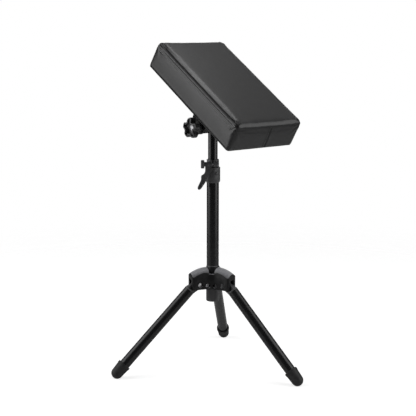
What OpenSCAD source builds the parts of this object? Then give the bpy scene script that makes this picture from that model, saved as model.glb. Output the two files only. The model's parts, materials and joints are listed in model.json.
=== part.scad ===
// Arm rest stand: a folding tripod, a telescopic post with a lever clamp, and a padded rest
// that tilts on a cross bolt and is held by a star knob. Millimetres, Z up, floor at z = 0.

/* [Post] */
// Outer diameter of the lower post tube
lower_od = 32; // [31:0.5:36]
// Wall of the lower post tube
lower_wall = 1.5; // [1:0.1:2]
// Length of the lower post tube
lower_len = 351.5; // [330:0.5:480]
// Outer diameter of the upper post tube
upper_od = 25; // [22:0.5:26]
// Wall of the upper post tube
upper_wall = 1.2; // [1:0.1:2]
// Length of the upper post tube up to the tilt axis
upper_len = 392; // [340:1:410]
// Height of the tilt axis above the top of the clamp
extension = 85.5; // [70:0.5:110]

/* [Legs] */
// Outer diameter of the leg tubes
leg_od = 28; // [25:0.5:30]
// Wall of the leg tubes
leg_wall = 1.2; // [1:0.1:2]
// Distance from a leg's pivot to the middle of its foot's round end, along the leg
leg_reach = 313; // [260:1:400]
// Direction of the rear leg about the post, in degrees
turn_rear = 90; // [60:1:120]
// Slope of an opened leg below the horizontal, in degrees
leg_slope = 44.8; // [38:0.1:50]
// Distance of the leg tube's axis outside the pivot
leg_offset = 7.5; // [5:0.5:9]
// Thickness of the tongue between the hub's cheeks
tongue_t = 14; // [10:0.5:16]
// Radius of the tongue round the pivot
tongue_r = 11; // [9:0.5:11]
// Distance from the pivot to the end of the leg tube
tube_gap = 29; // [29:0.5:36]
// Thickness of the tongue's flange that the tube butts on
flange_t = 3; // [2:0.5:3]
// Length of the plug inside the leg tube
plug_len = 34; // [20:1:60]
// Wall of the hollow plug
plug_wall = 3; // [2:0.5:5]

/* [Hub] */
// Distance from the post axis to the leg pivots
pivot_r = 42; // [42:0.5:46]
// Distance from the post axis to the stop screws
stop_r = 21; // [20.5:0.5:22]
// Drop of the stop screws below the pivots
stop_drop = 3; // [2:0.5:5]
// Distance from the post axis to the end of a lobe
lobe_len = 64; // [58:0.5:66]
// Width of a lobe
lobe_w = 34; // [32:0.5:38]
// Radius of the lobe's upright corners
lobe_corner = 5; // [2:0.5:8]
// Distance from the post axis to the hollow wall between two lobes
waist_r = 26; // [24:0.5:28]
// Depth of the hub below the pivots
hub_drop = 12.2; // [10:0.1:13]
// Height of a lobe's crest above the pivots
crest_rise = 44; // [40:0.5:48]
// Radius of the crest seen from the side
crest_r = 88; // [80:1:120]
// Distance from the post axis to the crest's highest place
crest_start = 18; // [14:0.5:22]
// Radius of a lobe's arched top across the lobe
arch_r = 19.5; // [19.2:0.1:24]
// Height of the waist's shoulder above the pivots
waist_rise = 28; // [22:0.5:32]
// Height of the slot's roof above the pivots
slot_rise = 22.6; // [22:0.1:25]
// Height of the slot's lower outer roof above the pivots
mouth_rise = 15; // [12:0.5:18]
// Distance from the post axis to the lower outer roof
mouth_r = 52; // [46:0.5:56]
// Wall of the neck ring round the post
neck_wall = 1.2; // [1:0.1:3]
// Height of the neck ring above the crest
neck_h = 3.5; // [2.5:0.5:12]
// Height of the neck's sloped lip
neck_slope_h = 2; // [1:0.5:2.5]
// Depth left between the leg slot and the screw seats
seat_wall = 2.8; // [2:0.1:4]

/* [Lower cap] */
// Length of the post tube below the hub
stub_len = 33.5; // [24:0.5:60]
// Wall of the cap on the lower end
cap_wall = 1.5; // [1:0.1:3]
// Floor thickness of the cap
cap_floor = 3; // [2:0.5:5]
// Radius of the cap's lower edge
cap_round = 2.5; // [1:0.5:2.5]

/* [Feet] */
// Radius of a foot's round end
foot_r = 15.5; // [14.9:0.1:17]
// Depth of the flat worn on the foot where it meets the floor
foot_flat = 0.5; // [0.3:0.1:1.5]
// Length of the foot from its rim to the middle of its round end
foot_len = 29; // [26:0.5:60]
// Depth of the leg tube inside the foot
foot_bore = 24; // [18:0.5:26]
// Wall of the foot beside the tube
foot_wall = 2.8; // [1.5:0.1:4]
// Extra radius of the foot's rim
rim_lip = 0.9; // [0.5:0.1:2]
// Length of the rim
rim_len = 6; // [3:0.5:8]

/* [Clamp] */
// Wall of the clamp's sleeve round the lower tube
sleeve_wall = 3.2; // [2:0.1:5]
// Length of the sleeve below the top of the lower tube
sleeve_len = 36.5; // [34:0.5:60]
// Height of the chamfer at the sleeve's foot
sleeve_chamfer = 4; // [2:0.5:6]
// Thickness of the shoulder between the sleeve and the split ring
shoulder_t = 2.5; // [2:0.5:5]
// Wall of the split ring round the upper tube
ring_wall = 3.5; // [3:0.1:5]
// Height of the split ring
ring_h = 20.5; // [18:0.5:28]
// Width of the ring's split
split_w = 2.5; // [1.5:0.1:4]
// Distance from the post axis to the clamp bolt
clamp_reach = 23.5; // [23.5:0.5:28]
// Radius of the ears round the bolt
ear_r = 7; // [6:0.5:8]
// Thickness of the near ear
near_ear = 3.8; // [3:0.1:6]
// Thickness of the far ear
far_ear = 10.8; // [6:0.1:12]
// Length of the lever's boss on the bolt
boss_len = 17; // [12:0.5:22]
// Radius of the lever's boss
boss_r = 6; // [5:0.5:6.5]
// Thickness of the lever's arm
lever_t = 7; // [5:0.5:8]
// Length of the lever from the bolt to its tip
lever_len = 66; // [50:0.5:90]
// Width of the lever's arm at its root
lever_root_w = 20; // [16:0.5:21]
// Width of the lever's grip
lever_grip_w = 9.5; // [7:0.5:12]
// Depth of the hollow along the lever's grip
lever_hollow = 1.2; // [0.5:0.1:2.5]
// Gap between the ears and the lever's arm below them
lever_drop = 2; // [1:0.5:4]
// Diameter of the round nut at the lever's end of the bolt
round_nut_d = 22; // [16:0.5:26]
// Thickness of the round nut
round_nut_t = 9; // [6:0.5:12]
// Turn of the clamp about the post, in degrees
clamp_turn = 7; // [-30:1:30]

/* [Guides] */
// Length of the guide bush in the lower tube's mouth
guide_len = 30; // [20:0.5:34]
// Thickness of the guide bush's rim on the tube's end
guide_rim = 1.5; // [1:0.1:3]
// Length of the glide bush on the upper tube's foot
glide_len = 30; // [20:0.5:50]
// Thickness of the glide bush's floor lip
glide_lip = 2; // [1:0.1:4]
// Width of the lip under the upper tube's end
lip_w = 3.5; // [2:0.5:6]

/* [Tilt head] */
// Outer diameter of the cross tube
cross_od = 32; // [28:0.5:34]
// Wall of the cross tube
cross_wall = 2; // [1.5:0.1:3]
// Length of the cross tube
cross_len = 76; // [60:1:90]
// Length of the plug bushes in the cross tube
plug_bush_len = 14; // [8:0.5:20]
// Thickness of the friction washers
friction_t = 3; // [1.5:0.1:5]
// Radius of the friction washers
friction_r = 15; // [12:0.5:17]
// Turn of the rest about the post, in degrees
pad_turn = -42; // [-60:1:-20]
// Tilt of the rest from level, in degrees
pad_tilt = 33; // [0:0.5:60]

/* [Bracket] */
// Thickness of the bracket's ears
bracket_ear = 5; // [4:0.5:8]
// Radius of the ears' round ends
bracket_ear_r = 17.5; // [14:0.5:20]
// Distance from the tilt axis to the ears' uphill edge
ear_uphill = 37; // [30:0.5:40]
// Height of the ears' uphill corner above the tilt axis
ear_heel_rise = 10; // [8:0.5:20]
// Radius of the ears' uphill corner
ear_heel_r = 7; // [4:0.5:9]
// Distance from the tilt axis to the ears' downhill edge at the plate
ear_downhill = 31; // [25:0.5:40]
// Thickness of the bracket's plate
plate_t = 5; // [4:0.5:7]
// Length of the plate along the rest
plate_l = 100; // [84:1:130]
// Width of the plate's flange outside each ear
flange_w = 17; // [14:0.5:22]
// Distance from the tilt axis to the board
pad_drop = 63; // [60:0.5:80]
// Distance between the bracket screws along the rest
screw_pitch = 76; // [60:1:80]

/* [Rest] */
// Length of the rest
pad_len = 366; // [300:1:420]
// Width of the rest
pad_w = 222; // [190:1:240]
// Thickness of the rest with its cover
pad_t = 76; // [60:1:90]
// Distance of the rest's middle uphill of the tilt axis
pad_shift = 10.5; // [0:0.5:30]
// Corner radius of the rest seen from above
pad_corner = 9; // [7:1:20]
// Height of the crown over the top's edge
crown_h = 4; // [2:0.5:8]
// Depth that the sides draw in between the corners
draw_in = 1.5; // [0.5:0.1:2]
// Radius of the rolled top edge
roll_r = 7; // [5:0.5:12]
// Depth of the seam's groove below the rolled edge
groove_d = 1.6; // [0.5:0.1:2]
// Thickness of the board
board_t = 12; // [9:0.5:15]
// Thickness of the cover with its lining
cover_t = 3.5; // [3:0.1:5]
// Thickness of the cover's hem under the board
hem_t = 1.2; // [0.8:0.1:2]
// Width of the hem
hem_w = 22; // [15:1:30]
// Thickness of the cloth under the board
cloth_t = 0.6; // [0.4:0.1:0.8]

/* [Knob] */
// Outer radius of the star knob
knob_r = 27.5; // [24:0.5:32]
// Radius of a knob lobe
knob_lobe_r = 7.5; // [6:0.5:9]
// Radius of the knob's core between the lobes
knob_core_r = 17; // [15:0.5:19]
// Thickness of the star
knob_t = 18; // [14:0.5:24]
// Radius of the knob's boss
knob_boss_r = 13; // [11:0.5:16]
// Length of the knob's boss
knob_boss_h = 17; // [8:0.5:20]
// Radius of the metal insert in the knob
insert_r = 7.5; // [6:0.1:8.5]
// Height of the insert above the hollow's floor
insert_proud = 1; // [0.5:0.1:2]
// Thickness of the rim round the knob's hollow front
knob_rim = 3.6; // [2.5:0.1:4.5]
// Depth of the hollow front
knob_dish = 12; // [6:0.5:14]
// Number of lobes on the star knob
knob_lobes = 5; // [4:1:6]
// Depth of the tilt bolt's end in the metal insert
bolt_inset = 0.5; // [0.3:0.1:3]

/* [Fasteners] */
// Diameter of the leg screws, the clamp bolt and the bracket screws
screw_d = 6; // [5:0.5:6.5]
// Diameter of their heads
head_d = 11; // [9.5:0.5:12]
// Height of their heads
head_h = 3.5; // [3:0.1:4]
// Width of the nuts across their flats
nut_af = 10; // [8.5:0.5:11]
// Thickness of the nuts
nut_t = 5; // [4:0.5:6]
// Diameter of the tilt bolt
tilt_bolt_d = 8; // [7:0.5:9]
// Diameter of the tilt bolt's round head
tilt_head_d = 18; // [14:0.5:22]
// Height of the tilt bolt's round head
tilt_head_h = 4.5; // [3:0.5:6]
// Thickness of the washer under the knob
washer_t = 1.6; // [1:0.1:2.5]
// Radius of the washer under the knob
washer_r = 10; // [8:0.5:13]
// Diameter of the self-tapping screw in the sleeve
tap_d = 3.8; // [3:0.1:4.5]
// Diameter of its head
tap_head_d = 8; // [6:0.5:9]
// Height of its head
tap_head_h = 2.5; // [2:0.1:3]
// Turn of the self-tapping screw from the clamp bolt's direction, in degrees
tap_turn = -60; // [-75:1:-45]

/* [Fits] */
// Radial clearance of a part that turns or slides on another
run_fit = 0.05; // [0.02:0.01:0.1]
// Radial clearance of a part that is held still on another
seat_fit = 0.02; // [0.01:0.01:0.05]
// Clearance between flat faces that move past each other
face_gap = 0.2; // [0.1:0.05:0.4]
// Clearance round screw heads and nuts in their seats
head_gap = 1.2; // [0.5:0.1:2]

/* [Hidden] */
$fn = 96;

// Overrun of every cut past the face it opens
over = 1;

// Directions of the legs about the post
leg_count = 3;
leg_turns = [for (i = [1, 2, 0]) turn_rear + i * 360 / leg_count];
turn_left = leg_turns[0];
turn_right = leg_turns[1];

// Heights, from the floor up
pivot_z = foot_r - foot_flat + leg_reach * sin(leg_slope) - leg_offset * cos(leg_slope);
hub_bottom = pivot_z - hub_drop;
tube_bottom = hub_bottom - stub_len;
cap_bottom = tube_bottom - cap_floor;
crest_top = pivot_z + crest_rise;
tube_top = tube_bottom + lower_len;
ring_bottom = tube_top + guide_rim + shoulder_t;
ring_top = ring_bottom + ring_h;
tilt_z = ring_top + extension;
bolt_z = ring_bottom + ring_h / 2;
upper_bottom = tilt_z - upper_len;

// Radii that follow from the tubes
lower_r = lower_od / 2;
bore_r = lower_r - lower_wall;
upper_r = upper_od / 2;
sleeve_r = lower_r + sleeve_wall;
ring_r = upper_r + ring_wall;
cross_r = cross_od / 2;

// Where the post stands, so that the middle of the whole outline is at the origin
foot_circle = pivot_r + leg_reach * cos(leg_slope) + leg_offset * sin(leg_slope);
pad_under = pad_drop - hem_t;
pad_front_x = (pad_len / 2 - pad_shift) * cos(pad_tilt) + (pad_under + pad_t) * sin(pad_tilt);
front_reach = -pad_front_x * sin(pad_turn) + pad_w / 2 * cos(pad_turn);
post_y = -(foot_circle + foot_r - front_reach) / 2;

// Places along the tilt axis, counted from the post
washer_out = cross_len / 2 + friction_t;
ear_in = washer_out + face_gap;
ear_out = ear_in + bracket_ear;
knob_back = ear_out + washer_t;
knob_front = knob_back + knob_boss_h + knob_t;
bolt_end = knob_front - knob_dish + insert_proud - bolt_inset;

// Places along the clamp bolt, counted from the post
ear_near = -split_w / 2 - near_ear;
ear_far = split_w / 2 + far_ear;
boss_near = ear_near - boss_len;
bolt_cover_share = 0.75;

// Moves a shape to the post's foot
module at_post() translate([0, post_y, 0]) children();

// Moves a shape to a leg: x runs down the leg, z points up and out from it
module at_leg(turn) {
    at_post() rotate([0, 0, turn]) translate([pivot_r, 0, pivot_z])
        rotate([0, leg_slope, 0]) children();
}

// Moves a shape to the clamp: x runs along its bolt, -y is its front
module at_clamp() at_post() rotate([0, 0, clamp_turn]) children();

// Moves a shape to the top of the post: x points downhill, y runs along the tilt axis
module at_head() at_post() translate([0, 0, tilt_z]) rotate([0, 0, pad_turn]) children();

// Moves a shape to the rest: z stands square to its board
module at_pad() at_head() rotate([0, pad_tilt, 0]) children();

// A tube along z, from z = 0 up
module tube(outer_r, inner_r, length) {
    difference() {
        cylinder(r = outer_r, h = length);
        translate([0, 0, -over]) cylinder(r = inner_r, h = length + 2 * over);
    }
}

// A plain round bar from one place to another along x
module bar_x(r, from, to) translate([from, 0, 0]) rotate([0, 90, 0]) cylinder(r = r, h = to - from);

// A plain round bar from one place to another along y
module bar_y(r, from, to) translate([0, from, 0]) rotate([-90, 0, 0]) cylinder(r = r, h = to - from);

// A hexagon along y, from one place to another
module hex_y(af, from, to) {
    translate([0, from, 0]) rotate([-90, 30, 0]) cylinder(d = af / cos(30), h = to - from, $fn = 6);
}

// A rectangle about the origin with round corners
module round_rect(l, w, r) {
    square([l, w - 2 * r], center = true);
    square([l - 2 * r, w], center = true);
    for (x = [-1, 1], y = [-1, 1]) translate([x * (l / 2 - r), y * (w / 2 - r)]) circle(r = r);
}

// A round screw head with a domed top: z = 0 is its seat
module pan_head(d, h) {
    intersection() {
        cylinder(d = d, h = h);
        translate([0, 0, h - d]) sphere(r = d);
    }
}

// The cross cut for a driver, sunk from the top of a head
module driver_cross(d, h) {
    arm = d / 2;
    slit = d / 9;
    for (turn = [0, 90]) rotate([0, 0, turn]) {
        translate([-arm / 2, -slit / 2, h / 2]) cube([arm, slit, h / 2 + over]);
    }
}

// Points that round one corner of an outline, from one side of it to the other
corner_steps = 5;
function soft_corner(before, corner, after, r) =
    let (
        to_before = (before - corner) / norm(before - corner),
        to_after = (after - corner) / norm(after - corner),
        reach = min(r, norm(before - corner) * 0.48, norm(after - corner) * 0.48)
    )
    [for (i = [0:corner_steps]) let (t = i / corner_steps)
        corner + reach * (pow(1 - t, 2) * to_before + pow(t, 2) * to_after)];

// An outline with all its corners rounded
function soft_outline(points, r) = let (n = len(points)) [
    for (i = [0:n - 1]) each soft_corner(points[(i + n - 1) % n], points[i], points[(i + 1) % n], r)
];

/* Hub */

// The hollow wall between two lobes is an arc that runs into both lobes' sides
lobe_half = lobe_w / 2;
waist_turn = 180 / leg_count;
blend_r = (waist_r * sin(waist_turn) - lobe_half) / (1 - sin(waist_turn));
blend_at = waist_r + blend_r;
blend_x = blend_at * cos(waist_turn);

// Outline of the hub seen from above
module hub_plan() {
    difference() {
        union() {
            for (turn = leg_turns) rotate(turn) {
                translate([0, -lobe_half]) square([lobe_len - lobe_corner, lobe_w]);
                translate([0, lobe_corner - lobe_half]) square([lobe_len, lobe_w - 2 * lobe_corner]);
                for (side = [-1, 1]) translate([lobe_len - lobe_corner, side * (lobe_half - lobe_corner)])
                    circle(r = lobe_corner);
            }
            reach = norm([blend_x, lobe_half]);
            spread = atan2(lobe_half, blend_x);
            polygon([
                for (turn = leg_turns, a = [turn - spread, turn + spread]) reach * [cos(a), sin(a)]
            ]);
        }
        for (turn = leg_turns) rotate(turn + waist_turn) translate([blend_at, 0]) circle(r = blend_r);
    }
}

// Half a wheel with a round rim, standing along a lobe: its rim is the lobe's arched top
module crest_wheel() {
    translate([crest_start, 0, crest_top - crest_r]) rotate([90, 0, 0]) rotate([0, 0, -90])
        rotate_extrude(angle = 180) {
            translate([0, -arch_r]) square([crest_r - arch_r, 2 * arch_r]);
            translate([crest_r - arch_r, 0]) circle(r = arch_r);
        }
}

// The slot that a leg's tongue folds in, with a lower roof at its mouth
module leg_slot() {
    slot_w = tongue_t + 2 * face_gap;
    floor_z = hub_bottom - over;
    translate([lower_r - lower_wall, -slot_w / 2, floor_z])
        cube([mouth_r - lower_r + lower_wall, slot_w, pivot_z + slot_rise - floor_z]);
    translate([mouth_r - over, -slot_w / 2, floor_z])
        cube([lobe_len - mouth_r + 2 * over, slot_w, pivot_z + mouth_rise - floor_z]);
}

// A cross hole through a lobe with a round seat for the head and a six-sided one for the nut
module cross_hole() {
    side = waist_r + over;
    seat = tongue_t / 2 + face_gap + seat_wall;
    bar_y(screw_d / 2 + run_fit, -side, side);
    bar_y(head_d / 2 + head_gap, seat, side);
    hex_y(nut_af + head_gap / 2, -side, -seat);
}

// The hub's outer form: three arched lobes round a lower waist
module hub_form() {
    intersection() {
        translate([0, 0, hub_bottom]) linear_extrude(height = crest_top - hub_bottom) hub_plan();
        union() {
            translate([0, 0, hub_bottom - over]) cylinder(r = pivot_r, h = hub_drop + waist_rise + over);
            for (turn = leg_turns) rotate([0, 0, turn]) crest_wheel();
        }
    }
    neck_r = lower_r + neck_wall;
    neck_top = crest_top + neck_h - neck_slope_h;
    translate([0, 0, pivot_z + slot_rise]) cylinder(r = neck_r, h = neck_top - pivot_z - slot_rise);
    translate([0, 0, neck_top]) cylinder(r1 = neck_r, r2 = lower_r + neck_wall / 4, h = neck_slope_h);
}

module hub() {
    color([0.1, 0.1, 0.11]) at_post() difference() {
        hub_form();
        translate([0, 0, hub_bottom - over]) cylinder(r = lower_r + seat_fit, h = lower_len);
        for (turn = leg_turns) rotate([0, 0, turn]) {
            leg_slot();
            translate([pivot_r, 0, pivot_z]) cross_hole();
            translate([stop_r, 0, pivot_z - stop_drop]) cross_hole();
        }
    }
}

// One screw across a lobe: its head is seated on the +y side
module leg_screw() {
    seat = tongue_t / 2 + face_gap + seat_wall;
    difference() {
        union() {
            bar_y(screw_d / 2, -seat - nut_t - screw_d / 6, seat);
            translate([0, seat, 0]) rotate([-90, 0, 0]) pan_head(head_d, head_h);
        }
        translate([0, seat, 0]) rotate([-90, 0, 0]) driver_cross(head_d, head_h);
    }
}

module pivot_screws() {
    color([0.75, 0.76, 0.78]) at_post() for (turn = leg_turns) {
        rotate([0, 0, turn]) translate([pivot_r, 0, pivot_z]) leg_screw();
    }
}

module stop_screws() {
    color([0.75, 0.76, 0.78]) at_post() for (turn = leg_turns) {
        rotate([0, 0, turn]) translate([stop_r, 0, pivot_z - stop_drop]) leg_screw();
    }
}

// A nut on the -y end of a leg screw
module leg_nut() {
    seat = tongue_t / 2 + face_gap + seat_wall;
    difference() {
        hex_y(nut_af, -seat - nut_t, -seat);
        bar_y(screw_d / 2 + seat_fit, -seat - nut_t - over, -seat + over);
    }
}

module leg_nuts() {
    color([0.2, 0.2, 0.21]) at_post() for (turn = leg_turns) rotate([0, 0, turn]) {
        translate([pivot_r, 0, pivot_z]) leg_nut();
        translate([stop_r, 0, pivot_z - stop_drop]) leg_nut();
    }
}

/* Post, lower part */

module lower_tube() {
    color([0.05, 0.05, 0.05]) at_post() difference() {
        translate([0, 0, tube_bottom]) tube(lower_r, bore_r, lower_len);
        rotate([0, 0, clamp_turn]) collar_screw_hole();
    }
}

// Half section of the lower cap: a cup whose floor carries the tube
module cap_section() {
    outer = lower_r + cap_wall;
    difference() {
        union() {
            translate([0, cap_round]) square([outer, hub_bottom - cap_bottom - cap_round]);
            square([outer - cap_round, cap_round + over]);
            translate([outer - cap_round, cap_round]) circle(r = cap_round);
        }
        translate([0, cap_floor]) square([lower_r + seat_fit, hub_bottom - cap_bottom]);
        translate([-outer, -over]) square([outer, hub_bottom - cap_bottom + 2 * over]);
    }
}

module tube_cap() {
    color([0.06, 0.06, 0.06]) at_post() translate([0, 0, cap_bottom]) rotate_extrude() cap_section();
}

/* Legs */

// Side outline of the tongue: x down the leg, y up and out from it
module tongue_outline() {
    flange_x = tube_gap - flange_t;
    heel_r = tongue_r / 3.2;
    heel_reach = pivot_r - stop_r;
    heel_low = screw_d / 2 - stop_drop + face_gap;
    root = leg_od / 2 - flange_t / 2;
    circle(r = tongue_r);
    polygon([
        [0, -tongue_r], [flange_x + over, leg_offset - root],
        [flange_x + over, leg_offset + root], [0, tongue_r]
    ]);
    rotate(leg_slope) {
        translate([-heel_reach, heel_low]) square([heel_reach, 2 * heel_r]);
        translate([-heel_reach, heel_low + heel_r]) circle(r = heel_r);
    }
}

module leg_tongue(turn) {
    color([0.09, 0.09, 0.1]) at_leg(turn) difference() {
        union() {
            rotate([90, 0, 0]) linear_extrude(height = tongue_t, center = true) tongue_outline();
            translate([0, 0, leg_offset]) {
                bar_x(leg_od / 2, tube_gap - flange_t, tube_gap);
                bar_x(leg_od / 2 - leg_wall - seat_fit, tube_gap - over, tube_gap + plug_len);
            }
        }
        bar_y(screw_d / 2 + run_fit, -tongue_t, tongue_t);
        translate([0, 0, leg_offset])
            bar_x(leg_od / 2 - leg_wall - plug_wall, tube_gap + flange_t, tube_gap + plug_len + over);
    }
}

module leg_tube(turn) {
    tube_end = leg_reach - foot_len + foot_bore;
    color([0.05, 0.05, 0.05]) at_leg(turn) translate([tube_gap, 0, leg_offset])
        rotate([0, 90, 0]) tube(leg_od / 2, leg_od / 2 - leg_wall, tube_end - tube_gap);
}

// Half section of a foot: x is the radius, y runs down the leg from the rim
module foot_section() {
    body_r = leg_od / 2 + foot_wall;
    rim_r = body_r + rim_lip;
    polygon([
        [leg_od / 2 + seat_fit, 0], [rim_r - rim_lip / 3, 0], [rim_r, rim_lip / 3],
        [rim_r, rim_len], [body_r, rim_len + rim_lip], [foot_r, foot_len],
        [0, foot_len], [0, foot_bore], [leg_od / 2 + seat_fit, foot_bore]
    ]);
    intersection() {
        translate([0, foot_len]) circle(r = foot_r);
        translate([0, foot_len - over]) square([foot_r + over, foot_r + 2 * over]);
    }
}

module foot(turn) {
    color([0.07, 0.07, 0.07]) difference() {
        at_leg(turn) translate([leg_reach - foot_len, 0, leg_offset])
            rotate([0, 90, 0]) rotate_extrude() foot_section();
        at_post() rotate([0, 0, turn]) translate([foot_circle, 0, -foot_r])
            cube([4 * foot_r, 4 * foot_r, 2 * foot_r], center = true);
    }
}

/* Clamp */

// The self-tapping screw's place: x points out of the sleeve
module at_collar_screw() {
    screw_z = tube_top - guide_len / 2.6;
    rotate([0, 0, tap_turn]) translate([0, 0, screw_z]) children();
}

// Distance from the post axis to the flat under the self-tapping screw's head
tap_seat = sqrt(pow(sleeve_r, 2) - pow(tap_head_d / 2, 2)) - seat_fit;
// Distance from the post axis to the screw's point, inside the guide bush's wall
tap_point = upper_r + (bore_r - upper_r) / 3;

module collar_screw_hole() {
    at_collar_screw() bar_x(tap_d / 2 + seat_fit, tap_point - seat_fit, sleeve_r + over);
}

module clamp_collar() {
    color([0.08, 0.08, 0.09]) at_clamp() difference() {
        union() {
            translate([0, 0, tube_top - sleeve_len])
                cylinder(r1 = lower_r + sleeve_wall / 4, r2 = sleeve_r, h = sleeve_chamfer);
            translate([0, 0, tube_top - sleeve_len + sleeve_chamfer])
                cylinder(r = sleeve_r, h = ring_bottom - tube_top + sleeve_len - sleeve_chamfer);
            translate([0, 0, tube_top]) cylinder(r = ring_r, h = ring_top - tube_top);
            intersection() {
                translate([ear_near, -clamp_reach, bolt_z]) rotate([0, 90, 0]) linear_extrude(
                    height = ear_far - ear_near) {
                    circle(r = ear_r);
                    translate([-ear_r, 0]) square([2 * ear_r, clamp_reach]);
                }
                translate([ear_near - over, -2 * clamp_reach, ring_bottom])
                    cube([ear_far - ear_near + 2 * over, 2 * clamp_reach, ring_h]);
            }
        }
        translate([0, 0, tube_top - sleeve_len - over])
            cylinder(r = lower_r + seat_fit, h = sleeve_len + guide_rim + over);
        translate([0, 0, tube_top]) cylinder(r = upper_r + 2 * run_fit, h = ring_top - tube_top + over);
        translate([-split_w / 2, -2 * clamp_reach, ring_bottom])
            cube([split_w, 2 * clamp_reach, ring_h + over]);
        relief_h = split_w / 2;
        translate([-sleeve_r - over, -2 * clamp_reach, ring_bottom])
            cube([2 * sleeve_r + 2 * over, 2 * clamp_reach - upper_r / 4, relief_h]);
        translate([0, -clamp_reach, bolt_z])
            bar_x(screw_d / 2 + run_fit, ear_near - over, ear_far + over);
        collar_screw_hole();
        at_collar_screw() bar_x(tap_head_d / 2 + seat_fit, tap_seat, sleeve_r + over);
    }
}

module collar_screw() {
    color([0.6, 0.61, 0.63]) at_clamp() at_collar_screw() difference() {
        union() {
            bar_x(tap_d / 2, tap_point, tap_seat + over);
            translate([tap_seat, 0, 0]) rotate([0, 90, 0]) pan_head(tap_head_d, tap_head_h);
        }
        translate([tap_seat, 0, 0]) rotate([0, 90, 0]) driver_cross(tap_head_d, tap_head_h);
    }
}

module guide_bush() {
    color([0.12, 0.12, 0.12]) at_post() difference() {
        union() {
            translate([0, 0, tube_top - guide_len]) cylinder(r = bore_r - seat_fit, h = guide_len);
            translate([0, 0, tube_top]) cylinder(r = lower_r - seat_fit, h = guide_rim);
        }
        translate([0, 0, tube_top - guide_len - over])
            cylinder(r = upper_r + run_fit, h = guide_len + guide_rim + 2 * over);
        rotate([0, 0, clamp_turn]) collar_screw_hole();
    }
}

module clamp_bolt() {
    bolt_start = boss_near - round_nut_t * bolt_cover_share;
    color([0.55, 0.56, 0.58]) at_clamp() translate([0, -clamp_reach, bolt_z]) {
        bar_x(screw_d / 2, bolt_start, ear_far + over);
        translate([ear_far, 0, 0]) rotate([0, 90, 0])
            cylinder(d = nut_af / cos(30), h = nut_t * 4 / 5, $fn = 6);
    }
}

// Half section of the round nut: x is the radius, y runs outward along the bolt
module round_nut_section() {
    r = round_nut_d / 2;
    edge = round_nut_t / 4;
    difference() {
        union() {
            square([r - edge, round_nut_t]);
            translate([0, edge]) square([r, round_nut_t - 2 * edge]);
            for (y = [edge, round_nut_t - edge]) translate([r - edge, y]) circle(r = edge);
        }
        translate([-r, -over]) square([r, round_nut_t + 2 * over]);
    }
}

module round_nut() {
    color([0.07, 0.07, 0.07]) at_clamp() translate([boss_near, -clamp_reach, bolt_z]) difference() {
        rotate([0, -90, 0]) rotate_extrude() round_nut_section();
        bar_x(screw_d / 2 + run_fit, -round_nut_t * bolt_cover_share - run_fit, over);
    }
}

// Front outline of the lever's arm: the bolt's middle is the origin, x as at_clamp
lever_tip = [boss_near - lever_root_w * 0.68, -lever_len];
lever_step = [boss_near - lever_root_w * 0.37, -lever_len * 0.49];
module lever_outline() {
    x0 = boss_near + boss_len / 8;
    root = lever_root_w;
    grip = lever_grip_w;
    top = -ear_r - lever_drop;
    polygon(soft_outline([
        [x0, 0], [x0, -lever_len * 0.3], [lever_step[0] + grip * 0.6, lever_step[1] + grip * 0.6],
        [lever_step[0] - grip * 0.12, lever_step[1] + grip * 0.3],
        [lever_step[0] - grip * 0.1, -lever_len * 0.62],
        [lever_tip[0] - grip * 0.46, lever_tip[1] + grip * 0.45],
        [lever_tip[0] - grip * 0.2, lever_tip[1] - grip * 0.12],
        [lever_tip[0] + grip * 0.45, lever_tip[1] + grip * 0.08],
        [x0 + root * 0.02, -lever_len * 0.72], [x0 + root * 0.28, -lever_len * 0.52],
        [x0 + root * 0.98, -lever_len * 0.22], [x0 + root * 0.98, top],
        [ear_near - face_gap, top], [ear_near - face_gap, 0]
    ], grip * 0.45));
}

// The shallow hollow along the front of the lever's grip
module grip_hollow() {
    grip = lever_grip_w;
    polygon(soft_outline([
        [lever_step[0] + grip * 0.25, lever_step[1] + grip * 0.25],
        [lever_step[0] + grip * 0.2, -lever_len * 0.62],
        [lever_tip[0] - grip * 0.12, lever_tip[1] + grip * 0.5],
        [lever_tip[0] + grip * 0.3, lever_tip[1] + grip * 0.45],
        [lever_step[0] + grip * 0.75, -lever_len * 0.66],
        [lever_step[0] + grip * 0.85, lever_step[1] + grip * 0.15]
    ], grip * 0.3));
}

module clamp_lever() {
    arm_back = clamp_reach - sleeve_r - face_gap * 3;
    color([0.1, 0.1, 0.11]) at_clamp() translate([0, -clamp_reach, bolt_z]) difference() {
        union() {
            bar_x(boss_r, boss_near + face_gap / 2, ear_near - face_gap / 2);
            translate([0, arm_back, 0]) rotate([90, 0, 0]) linear_extrude(height = lever_t) lever_outline();
        }
        bar_x(screw_d / 2 + run_fit, boss_near - over, ear_near + over);
        translate([0, arm_back - lever_t + lever_hollow, 0]) rotate([90, 0, 0])
            linear_extrude(height = lever_hollow + over) grip_hollow();
    }
}

/* Post, upper part */

module glide_bush() {
    outer = bore_r - run_fit;
    color([0.85, 0.85, 0.82]) at_post() translate([0, 0, upper_bottom - glide_lip]) difference() {
        cylinder(r = outer, h = glide_len);
        translate([0, 0, glide_lip - face_gap / 4]) cylinder(r = upper_r + run_fit, h = glide_len);
        translate([0, 0, -over]) cylinder(r = upper_r - lip_w, h = glide_len);
    }
}

module upper_tube() {
    color([0.05, 0.05, 0.05]) difference() {
        at_post() translate([0, 0, upper_bottom]) tube(upper_r, upper_r - upper_wall, upper_len);
        at_head() bar_y(cross_r, -cross_len, cross_len);
    }
}

module cross_tube() {
    color([0.05, 0.05, 0.05]) at_head() difference() {
        bar_y(cross_r, -cross_len / 2, cross_len / 2);
        bar_y(cross_r - cross_wall, -cross_len, cross_len);
    }
}

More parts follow.
